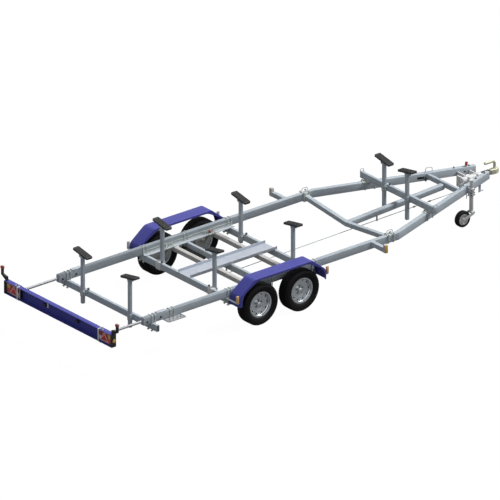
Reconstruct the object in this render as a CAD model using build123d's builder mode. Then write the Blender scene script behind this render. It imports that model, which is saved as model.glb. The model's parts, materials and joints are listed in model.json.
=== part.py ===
from build123d import *
import math
import os

# Tandem-axle boat trailer, in millimetres. +X points forward to the coupling, +Y to the left, +Z up.
# Every place along X is measured from the bogie, the point midway between the two axles. The finished
# pieces are set down so that the origin is on the floor below the middle of the trailer's length.

# Reach of the whole trailer from the bogie
FRONT_REACH = 5030.0
REAR_REACH = 3125.0
ORIGIN_SHIFT = (REAR_REACH - FRONT_REACH) / 2

# Wheels
TYRE_R = 314.5
TYRE_W = 195.0
TREAD_W = 150.0
SHOULDER = 14.0
TYRE_SIDES = 48
AXLE_SPACING = 760.0
TRACK = 2256.0
RIM_SEAT_R = 178.0
RIM_FLANGE_R = 195.0
RIM_INSIDE_W = 140.0
RIM_WALL = 4.0
DRUM_R = 112.0
DRUM_DEPTH = 58.0
VENT_COUNT = 10
VENT_L = 34.0
VENT_W = 15.0
VENT_RING_R = 147.0
DISC_OUT = 30.0
DISC_T = 6.0
HUB_FACE = 14.0
CAP_OUT = 48.0
CAP_R = 31.0
FIT_GAP = 0.3
RUNNING_GAP = 5.0

# Side rails, which bend inwards and run on as the drawbar
RAIL_H = 120.0
RAIL_W = 70.0
RAIL_WALL = 4.0
RAIL_SPACING = 1912.0
RAIL_BOTTOM = 473.0
RAIL_REAR = 2350.0
BEND_X = 2345.0
DRAWBAR_SPACING = 282.4

# Crossbeams
BEAM_H = 100.0
BEAM_W = 50.0
BEAM_WALL = 4.0
REAR_BEAM_X = -2205.0
AFT_BEAM_X = -809.0
MID_BEAM_X = -55.0
FORE_BEAM_X = 745.0
FRONT_BEAM_SHARE = 0.3345
REAR_BEAM_L = 2200.0
BOGIE_BEAM_L = 1980.0
FRONT_BEAM_L = 1680.0

# V crossmember, centre beam and nose crossbeam
VEE_X = 2165.0
VEE_W = 70.0
VEE_H = 70.0
VEE_END_TOP = 560.0
VEE_MID_TOP = 461.0
VEE_WALL = 4.0
SPINE_W = 80.0
SPINE_H = 80.0
SPINE_FRONT_TOP = 547.0
SPINE_WALL = 4.0
NOSE_SETBACK = 722.0
NOSE_BEAM_W = 50.0
NOSE_BEAM_H = 80.0
NOSE_BEAM_BOTTOM = 493.0

# Keel channel and axle carrier angles
KEEL_W = 270.0
KEEL_H = 50.0
KEEL_T = 4.0
ANGLE_L = 1640.0
ANGLE_UP = 60.0
ANGLE_IN = 70.0
ANGLE_T = 6.0

# Axles
AXLE_TUBE = 70.0
AXLE_WALL = 5.0
ARM_TRAIL = 110.0
ARM_INSIDE_Y = 938.0
ARM_T = 45.0
ARM_EYE_R = 33.0
STUB_R = 20.0
STUB_BOSS_R = 32.0
BACKPLATE_R = 118.0
BACKPLATE_T = 6.0

# Mudguards, the arms at their ends and the side markers
GUARD_W = 220.0
GUARD_INSIDE_Y = 1025.0
GUARD_T = 3.0
SKIRT_TOP_W = 35.0
SKIRT_REAR_W = 60.0
SKIRT_FRONT_W = 30.0
SKIRT_KNEE_Z = 560.0
SKIRT_TOP_L = 920.0
SKIRT_BEND_R = 200.0
GUARD_TOP = 757.0
GUARD_TOP_L = 1060.0
GUARD_KNEE_Z = 545.0
GUARD_FOOT_Z = 395.0
GUARD_BEND_R = 110.0
GUARD_ARM_W = 40.0
GUARD_ARM_T = 10.0
GUARD_ARM_Z = 463.0
GUARD_ARM_TIP_Y = 1244.0
MARKER_W = 46.0
MARKER_H = 112.0
MARKER_T = 22.0
MARKER_GAP = 2.0

# Hull supports
POST_SIZE = 50.0
POST_WALL = 4.0
SLEEVE_WALL = 4.0
SLEEVE_H = 100.0
PAD_L = 330.0
PAD_W = 110.0
PAD_T = 28.0
PAD_TILT = 10.5
PAD_CORNER_R = 18.0
CLEVIS_T = 5.0
CLEVIS_W = 70.0
CLEVIS_H = 55.0

# Light bar
BAR_OVERHANG = 259.0
BAR_H = 190.0
BAR_D = 80.0
BAR_T = 3.0
BAR_BOTTOM = 438.0
SLIDE_R = 20.0
SLIDE_WALL = 3.0
SLIDE_L = 1250.0
BUSH_L = 60.0
HOLDER_LAP = 51.0
LAMP_W = 300.0
LAMP_H = 155.0
LAMP_D = 55.0
LAMP_GAP = 2.0
PLATE_LAMP_Y = 370.0
PLATE_LAMP_W = 60.0
PLATE_LAMP_H = 40.0
PLATE_LAMP_D = 30.0
CAP_T = 6.0
CAP_PLUG = 27.0
HORN_REACH = 83.0
HORN_T = 30.0
HORN_ROOT_W = 35.0
HORN_STEM_W = 40.0
HORN_ELBOW = 60.0
HORN_RISE = 150.0
HORN_LENS_W = 48.0
HORN_LENS_H = 44.0
HORN_LENS_D = 48.0

# Front marker arms, step plate, wiring duct
FRONT_ARM_X = 1831.0
FRONT_ARM_W = 50.0
FRONT_ARM_TIP_Y = 1255.0
FRONT_ARM_Z = 548.0
FRONT_MARKER_H = 126.0
FRONT_MARKER_T = 60.0
FRONT_MARKER_RISE = 29.0
STEP_X = -1835.0
STEP_L = 330.0
STEP_OUT_Y = 1120.0
STEP_T = 5.0
STEP_CORNER_R = 30.0
DUCT_W = 50.0
DUCT_H = 24.0
DUCT_L = 480.0

# Brake rod
ROD_R = 5.0
ROD_REAR_Z = 280.0
ROD_FRONT_Z = 350.0
HANGER_X = 2757.0
HANGER_W = 30.0
HANGER_T = 6.0

# Overrun device and coupling, set back from the front of the trailer
COUPLING_Z = 483.0
HEAD_L = 190.0
HEAD_W = 92.0
HEAD_H = 74.0
BALL_SETBACK = 80.0
SOCKET_R = 25.2
SOCKET_WALL_L = 25.0
SHAFT_R = 26.0
BELLOWS_L = 150.0
BELLOWS_R = 46.0
BELLOWS_WAIST_R = 36.0
BELLOWS_FOLDS = 5
HOUSING_L = 390.0
HOUSING_R = 52.0
FLANGE_W = 140.0
FLANGE_H = 170.0
FLANGE_T = 20.0
FLANGE_CORNER_R = 25.0
BRIDGE_H = 110.0
BRIDGE_REAR_SETBACK = 280.0
BRIDGE_FRONT_SETBACK = 110.0
DRAWBAR_OVERLAP = 20.0
HANDLE_R = 17.0
HANDLE_SETBACK = 73.0
HANDLE_RISE = 118.0
HANDLE_BACK = 185.0
HANDLE_BEND_R = 45.0
BRACKET_SETBACK = 210.0
BRACKET_DROP = 128.0
BRACKET_T = 6.0
BRACKET_W = 60.0
BRACKET_PIN_R = 7.0
BRACKET_PIN_L = 70.0
KNOB_SETBACK = 127.0
KNOB_R = 28.0
KNOB_H = 58.0
KNOB_STEM_R = 14.0
KNOB_STEM_H = 14.0

# Jockey wheel
JOCKEY_SETBACK = 523.0
JOCKEY_STANDOFF = 43.6
JOCKEY_TUBE_R = 30.0
JOCKEY_BORE_R = 24.3
JOCKEY_TUBE_BOTTOM = 205.0
JOCKEY_TUBE_TOP = 690.0
CLAMP_BOTTOM = 440.0
CLAMP_H = 120.0
COLLAR_H = 42.0
CLAMP_WALL = 10.0
CLAMP_SPREAD = 80.0
TEE_R = 6.0
TEE_STEM_R = 5.0
TEE_STEM = 55.0
TEE_BAR = 80.0
JOCKEY_TRAIL = 165.0
JOCKEY_WHEEL_R = 123.0
JOCKEY_WHEEL_W = 84.0
JOCKEY_RIM_R = 84.0
JOCKEY_RIM_WALL = 8.0
JOCKEY_RIM_IN = 6.0
JOCKEY_SEAT_IN = 4.0
JOCKEY_SHOULDER = 8.0
JOCKEY_BEAD = 4.0
JOCKEY_SIDES = 36
JOCKEY_AXLE_R = 10.0
CHEEK_T = 6.0
CHEEK_W = 44.0
STEM_L = 26.0
CROWN_H = 24.0

# Lashing eyes
EYE_L = 100.0
EYE_H = 68.0
EYE_WIRE_R = 5.0
EYE_BEND_R = 25.0
EYE_END_GAP = 15.0
EYE_LAP = 25.0

# Sizes that follow from those above
HEAD_REAR = FRONT_REACH - HEAD_L
HOUSING_FRONT = HEAD_REAR - BELLOWS_L
HOUSING_REAR = HOUSING_FRONT - HOUSING_L
DRAWBAR_X = HOUSING_FRONT + DRAWBAR_OVERLAP
NOSE_BEAM_X = DRAWBAR_X - NOSE_SETBACK
FRONT_BEAM_X = BEND_X + FRONT_BEAM_SHARE * (DRAWBAR_X - BEND_X)
JOCKEY_X = DRAWBAR_X - JOCKEY_SETBACK
RAIL_Y = RAIL_SPACING / 2
RAIL_TOP = RAIL_BOTTOM + RAIL_H
RAIL_INSIDE_Y = RAIL_Y - RAIL_W / 2
RAIL_OUTSIDE_Y = RAIL_Y + RAIL_W / 2
DRAWBAR_Y = DRAWBAR_SPACING / 2
BEND_ANGLE = math.atan2(RAIL_Y - DRAWBAR_Y, DRAWBAR_X - BEND_X)
WHEEL_Y = TRACK / 2
TUBE_MID_Z = RAIL_BOTTOM + RAIL_H / 2
BEAM_BOTTOM = RAIL_BOTTOM - BEAM_H
SLEEVE_SIZE = POST_SIZE + 2 * SLEEVE_WALL
VEE_FRONT = VEE_X + VEE_W
AXLE_MID_Z = RAIL_BOTTOM - AXLE_TUBE / 2
GUARD_REAR = AFT_BEAM_X
GUARD_FRONT = FORE_BEAM_X + BEAM_W
BAR_REAR = -REAR_REACH
BAR_WEB = BAR_REAR + BAR_D
BAR_MID_Z = BAR_BOTTOM + BAR_H / 2
BAR_END_Y = RAIL_Y + BAR_OVERHANG
BAR_L = 2 * BAR_END_Y
HOLDER_L = BAR_OVERHANG + HOLDER_LAP
HOLDER_GROW = FIT_GAP + BAR_T
HOLDER_TOP = BAR_BOTTOM + BAR_H + HOLDER_GROW
SIDES = {"left": 1, "right": -1}
AXLES = {"front": AXLE_SPACING / 2, "rear": -AXLE_SPACING / 2}


def keep(piece, label):
    """Name a finished piece, set it down about the trailer's middle and write it to its own file."""
    piece.part.label = label
    export_step(piece.part.moved(Location((ORIGIN_SHIFT, 0, 0))), f"parts/{label}.step")


def drawbar_y(x, offset):
    """Distance from the centreline to the slanting rail at x, offset outwards across the rail."""
    return RAIL_Y - (x - BEND_X) * math.tan(BEND_ANGLE) + offset / math.cos(BEND_ANGLE)


def rail_plan(inset, overrun):
    """Plan outline of the left rail, its sides moved in by inset and its ends out by overrun."""
    def side(offset):
        """Rear end, bend and front end of the line at this offset from the middle of the rail."""
        rear = (-RAIL_REAR - overrun, RAIL_Y + offset)
        bend = (BEND_X + offset * math.tan(BEND_ANGLE / 2), RAIL_Y + offset)
        front_x = DRAWBAR_X + offset * math.sin(BEND_ANGLE) + overrun * math.cos(BEND_ANGLE)
        return [rear, bend, (front_x, drawbar_y(front_x, offset))]
    half = RAIL_W / 2 - inset
    return side(half) + side(-half)[::-1]


def ring_of_flats(hub, half, bore_r, sides):
    """A ring of flats about a hub's Y axis; half lists (distance out, radius) from bead to tread."""
    bead = half[0][0]
    corner_r = bore_r / math.cos(math.pi / sides)
    section = [(bead, corner_r)] + half + [(-y, r) for y, r in reversed(half)] + [(-bead, corner_r)]
    spokes = [(math.cos(math.tau * k / sides), math.sin(math.tau * k / sides)) for k in range(sides)]
    rows = [[Vector(hub[0] + r * c, hub[1] + y, hub[2] + r * s) for c, s in spokes] for y, r in section]
    flats = []
    for here, there in zip(rows, rows[1:] + rows[:1]):
        for k in range(sides):
            flats.append(Face(Wire.make_polygon([here[k - 1], here[k], there[k], there[k - 1]])))
    with BuildPart() as ring:
        add(Solid(Shell(flats)))
    return ring


def cross_tube(x_rear, z_bottom, length):
    """Hollow crossbeam with open ends, lying across the trailer."""
    with BuildPart() as beam:
        with BuildSketch(Plane.XZ.offset(-length / 2)):
            with Locations((x_rear + BEAM_W / 2, z_bottom + BEAM_H / 2)):
                Rectangle(BEAM_W, BEAM_H)
                Rectangle(BEAM_W - 2 * BEAM_WALL, BEAM_H - 2 * BEAM_WALL, mode=Mode.SUBTRACT)
        extrude(amount=length)
    return beam


def vee_face(inset, overrun, side):
    """Closed outline of one half of the V crossmember in its own YZ plane."""
    slope = (VEE_END_TOP - VEE_MID_TOP) / RAIL_INSIDE_Y
    rise = inset * math.sqrt(1 + slope * slope)
    corners = []
    for y, top in ((-overrun, True), (RAIL_INSIDE_Y + overrun, True),
                   (RAIL_INSIDE_Y + overrun, False), (-overrun, False)):
        z = VEE_MID_TOP + slope * y - (rise if top else VEE_H - rise)
        corners.append((side * y, z))
    return corners


def spine_top(x):
    """Height of the centre beam's top at x."""
    run = NOSE_BEAM_X - VEE_FRONT
    return VEE_MID_TOP + (SPINE_FRONT_TOP - VEE_MID_TOP) * (x - VEE_FRONT) / run


def spine_face(inset, overrun):
    """Closed outline of the centre beam in the XZ plane."""
    rear = VEE_FRONT - overrun
    front = NOSE_BEAM_X + overrun
    top = [(rear, spine_top(rear) - inset), (front, spine_top(front) - inset)]
    low = [(front, spine_top(front) - SPINE_H + inset), (rear, spine_top(rear) - SPINE_H + inset)]
    return top + low


def outline_face(points):
    """Fill a closed outline of straight lines in the open sketch."""
    with BuildLine() as outline:
        Polyline(*points, close=True)
    make_face(outline.edges())


def arch_face(points, bend_r, mode):
    """Fill or cut the area under a bent line in the open sketch, down to the line between its ends."""
    with BuildLine() as outline:
        bent = FilletPolyline(*points, radius=bend_r)
        Line(bent @ 1, bent @ 0)
    make_face(outline.edges(), mode=mode)


os.makedirs("parts", exist_ok=True)

# Side rails: one bent hollow tube each, open at both ends
with BuildPart() as rail_left:
    with BuildSketch(Plane.XY.offset(RAIL_BOTTOM)):
        outline_face(rail_plan(0, 0))
    extrude(amount=RAIL_H)
    with BuildSketch(Plane.XY.offset(RAIL_BOTTOM + RAIL_WALL)):
        outline_face(rail_plan(RAIL_WALL, RAIL_WALL))
    extrude(amount=RAIL_H - 2 * RAIL_WALL, mode=Mode.SUBTRACT)
keep(rail_left, "rail_left")
with BuildPart() as rail_right:
    mirror(rail_left.part, about=Plane.XZ)
keep(rail_right, "rail_right")

# Crossbeams: name, rear face, underside, length
CROSSBEAMS = [
    ("rear_crossbeam", REAR_BEAM_X, BEAM_BOTTOM, REAR_BEAM_L),
    ("aft_crossbeam", AFT_BEAM_X, BEAM_BOTTOM, BOGIE_BEAM_L),
    ("mid_crossbeam", MID_BEAM_X, BEAM_BOTTOM, BOGIE_BEAM_L),
    ("fore_crossbeam", FORE_BEAM_X, BEAM_BOTTOM, BOGIE_BEAM_L),
    ("front_crossbeam", FRONT_BEAM_X, RAIL_TOP, FRONT_BEAM_L),
]
for label, x_rear, z_bottom, length in CROSSBEAMS:
    keep(cross_tube(x_rear, z_bottom, length), label)

# V crossmember: two sloping tubes that meet on the centreline
for name, side in SIDES.items():
    with BuildPart() as vee:
        with BuildSketch(Plane.YZ.offset(VEE_X)):
            outline_face(vee_face(0, 0, side))
        extrude(amount=VEE_W)
        with BuildSketch(Plane.YZ.offset(VEE_X + VEE_WALL)):
            outline_face(vee_face(VEE_WALL, VEE_WALL, side))
        extrude(amount=VEE_W - 2 * VEE_WALL, mode=Mode.SUBTRACT)
    keep(vee, f"vee_crossmember_{name}")

# Centre beam: rises from the V crossmember to the nose crossbeam
with BuildPart() as centre_beam:
    with BuildSketch(Plane.XZ.offset(-SPINE_W / 2)):
        outline_face(spine_face(0, 0))
    extrude(amount=SPINE_W)
    with BuildSketch(Plane.XZ.offset(-SPINE_W / 2 + SPINE_WALL)):
        outline_face(spine_face(SPINE_WALL, SPINE_WALL))
    extrude(amount=SPINE_W - 2 * SPINE_WALL, mode=Mode.SUBTRACT)
keep(centre_beam, "centre_beam")

# Nose crossbeam: its ends are cut to the slant of the drawbar
with BuildPart() as nose_crossbeam:
    nose_front = NOSE_BEAM_X + NOSE_BEAM_W
    rear_y = drawbar_y(NOSE_BEAM_X, -RAIL_W / 2)
    front_y = drawbar_y(nose_front, -RAIL_W / 2)
    with BuildSketch(Plane.XY.offset(NOSE_BEAM_BOTTOM)):
        outline_face([(NOSE_BEAM_X, rear_y), (nose_front, front_y),
                      (nose_front, -front_y), (NOSE_BEAM_X, -rear_y)])
    extrude(amount=NOSE_BEAM_H)
    with BuildSketch(Plane.XZ.offset(-rear_y)):
        with Locations((NOSE_BEAM_X + NOSE_BEAM_W / 2, NOSE_BEAM_BOTTOM + NOSE_BEAM_H / 2)):
            Rectangle(NOSE_BEAM_W - 2 * BEAM_WALL, NOSE_BEAM_H - 2 * BEAM_WALL)
    extrude(amount=2 * rear_y, mode=Mode.SUBTRACT)
keep(nose_crossbeam, "nose_crossbeam")

# Keel channel: a shallow trough on the three bogie beams
with BuildPart() as keel_channel:
    with BuildSketch(Plane.YZ.offset(AFT_BEAM_X)):
        with Locations((0, RAIL_BOTTOM)):
            Rectangle(KEEL_W, KEEL_H, align=(Align.CENTER, Align.MIN))
        with Locations((0, RAIL_BOTTOM + KEEL_T)):
            Rectangle(KEEL_W - 2 * KEEL_T, KEEL_H, align=(Align.CENTER, Align.MIN), mode=Mode.SUBTRACT)
    extrude(amount=FORE_BEAM_X + BEAM_W - AFT_BEAM_X)
keep(keel_channel, "keel_channel")

# Axle carrier angles: along the inside of each rail, lying on the bogie beams
for name, side in SIDES.items():
    with BuildPart() as angle:
        with BuildSketch(Plane.YZ.offset(-ANGLE_L / 2)):
            outline_face([
                (side * RAIL_INSIDE_Y, RAIL_BOTTOM),
                (side * RAIL_INSIDE_Y, RAIL_BOTTOM + ANGLE_UP),
                (side * (RAIL_INSIDE_Y - ANGLE_T), RAIL_BOTTOM + ANGLE_UP),
                (side * (RAIL_INSIDE_Y - ANGLE_T), RAIL_BOTTOM + ANGLE_T),
                (side * (RAIL_INSIDE_Y - ANGLE_IN), RAIL_BOTTOM + ANGLE_T),
                (side * (RAIL_INSIDE_Y - ANGLE_IN), RAIL_BOTTOM),
            ])
        extrude(amount=ANGLE_L)
    keep(angle, f"axle_angle_{name}")

# Axles: square torsion tube, trailing swing arms, stub axles and brake backplates
for name, wheel_x in AXLES.items():
    tube_x = wheel_x + ARM_TRAIL
    plate_y = WHEEL_Y - DRUM_DEPTH - RUNNING_GAP - BACKPLATE_T
    with BuildPart() as axle:
        with BuildSketch(Plane.XZ.offset(-ARM_INSIDE_Y)):
            with Locations((tube_x, AXLE_MID_Z)):
                Rectangle(AXLE_TUBE, AXLE_TUBE)
                Rectangle(AXLE_TUBE - 2 * AXLE_WALL, AXLE_TUBE - 2 * AXLE_WALL, mode=Mode.SUBTRACT)
        extrude(amount=2 * ARM_INSIDE_Y)
        for side in SIDES.values():
            with BuildSketch(Plane.XZ.offset(-side * ARM_INSIDE_Y)) as arm_shape:
                with Locations((tube_x, AXLE_MID_Z)):
                    Circle(ARM_EYE_R)
                with Locations((wheel_x, TYRE_R)):
                    Circle(STUB_BOSS_R)
                make_hull()
            extrude(amount=-side * ARM_T)
            with BuildSketch(Plane.XZ.offset(-side * ARM_INSIDE_Y)):
                with Locations((wheel_x, TYRE_R)):
                    Circle(STUB_BOSS_R)
            extrude(amount=-side * (plate_y + BACKPLATE_T - ARM_INSIDE_Y))
            with BuildSketch(Plane.XZ.offset(-side * plate_y)):
                with Locations((wheel_x, TYRE_R)):
                    Circle(BACKPLATE_R)
            extrude(amount=-side * BACKPLATE_T)
            with BuildSketch(Plane.XZ.offset(-side * plate_y)):
                with Locations((wheel_x, TYRE_R)):
                    Circle(STUB_R)
            extrude(amount=-side * (WHEEL_Y - plate_y))
    keep(axle, f"{name}_axle")

# Wheels: tyre and rim with its brake drum, each turned about the stub axle
bead_half = RIM_INSIDE_W / 2 - FIT_GAP
flange_half = RIM_INSIDE_W / 2 + RIM_WALL
barrel_r = RIM_SEAT_R - RIM_WALL
waist_r = (RIM_FLANGE_R + TYRE_R) / 2
tyre_half = [
    (bead_half, RIM_FLANGE_R + FIT_GAP), (TYRE_W / 2, waist_r),
    (TREAD_W / 2 + SHOULDER, TYRE_R - SHOULDER), (TREAD_W / 2, TYRE_R),
]
for end, wheel_x in AXLES.items():
    for name, side in SIDES.items():
        hub = (wheel_x, side * WHEEL_Y, TYRE_R)
        section = Plane(origin=hub, x_dir=(0, side, 0), z_dir=(side, 0, 0))
        spin = Axis(hub, (0, 1, 0))
        tyre = ring_of_flats(hub, tyre_half, RIM_SEAT_R + FIT_GAP, TYRE_SIDES)
        keep(tyre, f"tyre_{end}_{name}")
        with BuildPart() as rim:
            with BuildSketch(section):
                outline_face([
                    (-flange_half, RIM_FLANGE_R), (-RIM_INSIDE_W / 2, RIM_FLANGE_R),
                    (-RIM_INSIDE_W / 2, RIM_SEAT_R), (RIM_INSIDE_W / 2, RIM_SEAT_R),
                    (RIM_INSIDE_W / 2, RIM_FLANGE_R), (flange_half, RIM_FLANGE_R),
                    (flange_half, barrel_r), (DISC_OUT - DISC_T, barrel_r),
                    (DISC_OUT, VENT_RING_R), (DISC_OUT, DRUM_R + 16), (HUB_FACE + 8, DRUM_R - 14),
                    (HUB_FACE, CAP_R * 2), (HUB_FACE, CAP_R), (CAP_OUT - 5, CAP_R),
                    (CAP_OUT, CAP_R - 6), (CAP_OUT, 0), (RUNNING_GAP, 0), (RUNNING_GAP, STUB_R + FIT_GAP),
                    (-DRUM_DEPTH, STUB_R + FIT_GAP), (-DRUM_DEPTH, DRUM_R), (DISC_OUT - 2 * DISC_T, DRUM_R),
                    (DISC_OUT - DISC_T, DRUM_R + 16), (DISC_OUT - DISC_T, VENT_RING_R),
                    (DISC_OUT - 2 * DISC_T, barrel_r),
                    (-flange_half, barrel_r),
                ])
            revolve(axis=spin)
            vents = Plane(origin=(wheel_x, side * (WHEEL_Y + CAP_OUT), TYRE_R), x_dir=(1, 0, 0),
                          z_dir=(0, side, 0))
            with BuildSketch(vents):
                with PolarLocations(VENT_RING_R, VENT_COUNT):
                    SlotOverall(VENT_L, VENT_W, rotation=90)
            extrude(amount=-CAP_OUT, mode=Mode.SUBTRACT)
        keep(rim, f"rim_{end}_{name}")

# Mudguards: a strip bent over both wheels, with a skirt down each edge that widens towards the ends
guard_line = [
    (GUARD_REAR, GUARD_FOOT_Z), (GUARD_REAR, GUARD_KNEE_Z), (-GUARD_TOP_L / 2, GUARD_TOP),
    (GUARD_TOP_L / 2, GUARD_TOP), (GUARD_FRONT, GUARD_KNEE_Z), (GUARD_FRONT, GUARD_FOOT_Z),
]
skirt_rear = GUARD_REAR + SKIRT_REAR_W
skirt_front = GUARD_FRONT - SKIRT_FRONT_W
skirt_top = GUARD_TOP - SKIRT_TOP_W
skirt_line = [
    (skirt_rear, GUARD_FOOT_Z), (skirt_rear, SKIRT_KNEE_Z), (-SKIRT_TOP_L / 2, skirt_top),
    (SKIRT_TOP_L / 2, skirt_top), (skirt_front, SKIRT_KNEE_Z), (skirt_front, GUARD_FOOT_Z),
]
for name, side in SIDES.items():
    with BuildPart() as mudguard:
        with BuildSketch(Plane.XZ.offset(-side * GUARD_INSIDE_Y)):
            with BuildLine():
                FilletPolyline(*guard_line, radius=GUARD_BEND_R)
                offset(amount=GUARD_T, side=Side.RIGHT)
            make_face()
        extrude(amount=-side * GUARD_W)
        for skirt_y in (GUARD_INSIDE_Y, GUARD_INSIDE_Y + GUARD_W - GUARD_T):
            with BuildSketch(Plane.XZ.offset(-side * skirt_y)):
                arch_face(guard_line, GUARD_BEND_R, Mode.ADD)
                arch_face(skirt_line, SKIRT_BEND_R, Mode.SUBTRACT)
            extrude(amount=-side * GUARD_T)
    keep(mudguard, f"mudguard_{name}")

# Marker arms: flat bars from the bogie beams past the mudguards' ends, and short bars out from the rails
with BuildPart() as marker_arms:
    for side in SIDES.values():
        for x_near in (GUARD_REAR - GUARD_ARM_W, GUARD_FRONT):
            with BuildSketch(Plane.XY.offset(GUARD_ARM_Z)):
                with Locations((x_near + GUARD_ARM_W / 2, side * (RAIL_INSIDE_Y + GUARD_ARM_TIP_Y) / 2)):
                    Rectangle(GUARD_ARM_W, GUARD_ARM_TIP_Y - RAIL_INSIDE_Y)
            extrude(amount=GUARD_ARM_T)
        with BuildSketch(Plane.XZ.offset(-side * RAIL_OUTSIDE_Y)):
            with Locations((FRONT_ARM_X + FRONT_ARM_W / 2, FRONT_ARM_Z)):
                Rectangle(FRONT_ARM_W, FRONT_ARM_W)
        extrude(amount=-side * (FRONT_ARM_TIP_Y - RAIL_OUTSIDE_Y))
keep(marker_arms, "marker_arms")

# Side markers: amber lenses that stand on the flat arms and cap the short ones
with BuildPart() as side_markers:
    for side in SIDES.values():
        for x_mid in (GUARD_REAR - MARKER_GAP - MARKER_W / 2, GUARD_FRONT + MARKER_GAP + MARKER_W / 2):
            with BuildSketch(Plane.XY.offset(GUARD_ARM_Z + GUARD_ARM_T)):
                with Locations((x_mid, side * (GUARD_ARM_TIP_Y - MARKER_T / 2))):
                    RectangleRounded(MARKER_W, MARKER_T, MARKER_T / 4)
            extrude(amount=MARKER_H)
        with BuildSketch(Plane.XZ.offset(-side * FRONT_ARM_TIP_Y)):
            with Locations((FRONT_ARM_X + FRONT_ARM_W / 2, FRONT_ARM_Z + FRONT_MARKER_RISE)):
                RectangleRounded(FRONT_ARM_W, FRONT_MARKER_H, MARKER_T / 4)
        extrude(amount=-side * FRONT_MARKER_T)
keep(side_markers, "side_markers")

# Hull supports: post place across, middle of the sleeve along and up, foot of the post, top of the pad
rear_face = -SLEEVE_SIZE / 2
front_face = BEAM_W + SLEEVE_SIZE / 2
bogie_sleeve_z = BEAM_BOTTOM + BEAM_H / 2
front_sleeve_z = RAIL_TOP + BEAM_H / 2
STATIONS = [
    (533.0, REAR_BEAM_X + rear_face, bogie_sleeve_z, 265.0, 1056.0),
    (589.0, AFT_BEAM_X + front_face, bogie_sleeve_z, 330.0, 1065.0),
    (589.0, FORE_BEAM_X + rear_face, bogie_sleeve_z, 345.0, 1062.0),
    (258.0, FRONT_BEAM_X + rear_face, front_sleeve_z, 325.0, 1096.0),
]


def pad_plane(x, y, z, side):
    """Plane of a pad's top, which falls towards the keel."""
    tilt = math.radians(PAD_TILT)
    lean = (0, -side * math.sin(tilt), math.cos(tilt))
    return Plane(origin=(x, side * y, z), x_dir=(1, 0, 0), z_dir=lean)


with BuildPart() as pads:
    for y, x, sleeve_z, foot_z, pad_z in STATIONS:
        for side in SIDES.values():
            with BuildSketch(pad_plane(x, y, pad_z, side)):
                RectangleRounded(PAD_W, PAD_L, PAD_CORNER_R)
            extrude(amount=-PAD_T)
keep(pads, "support_pads")

with BuildPart() as clevises:
    for y, x, sleeve_z, foot_z, pad_z in STATIONS:
        for side in SIDES.values():
            with BuildSketch(pad_plane(x, y, pad_z, side).offset(-PAD_T)):
                with Locations((-(POST_SIZE + CLEVIS_T) / 2, 0), ((POST_SIZE + CLEVIS_T) / 2, 0)):
                    Rectangle(CLEVIS_T, CLEVIS_W)
            extrude(amount=-CLEVIS_H)
keep(clevises, "pad_clevises")

with BuildPart() as sleeves:
    for y, x, sleeve_z, foot_z, pad_z in STATIONS:
        for side in SIDES.values():
            with BuildSketch(Plane.XY.offset(sleeve_z - SLEEVE_H / 2)):
                with Locations((x, side * y)):
                    Rectangle(SLEEVE_SIZE, SLEEVE_SIZE)
                    Rectangle(POST_SIZE, POST_SIZE, mode=Mode.SUBTRACT)
            extrude(amount=SLEEVE_H)
keep(sleeves, "post_sleeves")

posts = []
for y, x, sleeve_z, foot_z, pad_z in STATIONS:
    for side in SIDES.values():
        with BuildPart() as post:
            with BuildSketch(Plane.XY.offset(foot_z)):
                with Locations((x, side * y)):
                    Rectangle(POST_SIZE, POST_SIZE)
                    Rectangle(POST_SIZE - 2 * POST_WALL, POST_SIZE - 2 * POST_WALL, mode=Mode.SUBTRACT)
            extrude(amount=pad_z - foot_z)
            split(bisect_by=pad_plane(x, y, pad_z, side).offset(-PAD_T), keep=Keep.BOTTOM)
        posts.append(post.part)
with BuildPart() as support_posts:
    add(posts)
keep(support_posts, "support_posts")

# Light bar: channel open to the rear, carried by two tubes that slide in the rails
with BuildPart() as light_bar:
    with BuildSketch(Plane.XZ.offset(-BAR_L / 2)):
        with Locations((BAR_REAR, BAR_MID_Z)):
            Rectangle(BAR_D, BAR_H, align=(Align.MIN, Align.CENTER))
            Rectangle(BAR_D - BAR_T, BAR_H - 2 * BAR_T, align=(Align.MIN, Align.CENTER), mode=Mode.SUBTRACT)
    extrude(amount=BAR_L)
keep(light_bar, "light_bar_channel")

with BuildPart() as slide_tubes:
    for side in SIDES.values():
        with BuildSketch(Plane.YZ.offset(BAR_WEB)):
            with Locations((side * RAIL_Y, TUBE_MID_Z)):
                Circle(SLIDE_R)
                Circle(SLIDE_R - SLIDE_WALL, mode=Mode.SUBTRACT)
        extrude(amount=SLIDE_L)
keep(slide_tubes, "light_bar_tubes")

with BuildPart() as bushes:
    for side in SIDES.values():
        with BuildSketch(Plane.YZ.offset(-RAIL_REAR)):
            with Locations((side * RAIL_Y, TUBE_MID_Z)):
                Rectangle(RAIL_W - 2 * RAIL_WALL, RAIL_H - 2 * RAIL_WALL)
                Circle(SLIDE_R + FIT_GAP, mode=Mode.SUBTRACT)
        extrude(amount=BUSH_L)
keep(bushes, "slide_bushes")

# Lamp holders: sleeves over both ends of the channel, with a hole where the sliding tube passes
with BuildPart() as holders:
    for side in SIDES.values():
        with BuildSketch(Plane.XZ.offset(-side * (BAR_END_Y - HOLDER_L))):
            with Locations((BAR_REAR, BAR_MID_Z)):
                Rectangle(BAR_D + HOLDER_GROW, BAR_H + 2 * HOLDER_GROW, align=(Align.MIN, Align.CENTER))
                Rectangle(BAR_D + FIT_GAP, BAR_H + 2 * FIT_GAP, align=(Align.MIN, Align.CENTER),
                          mode=Mode.SUBTRACT)
        extrude(amount=-side * HOLDER_L)
        with BuildSketch(Plane.YZ.offset(BAR_WEB)):
            with Locations((side * RAIL_Y, TUBE_MID_Z)):
                Circle(SLIDE_R + FIT_GAP)
        extrude(amount=2 * HOLDER_GROW, mode=Mode.SUBTRACT)
keep(holders, "lamp_holders")

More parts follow.
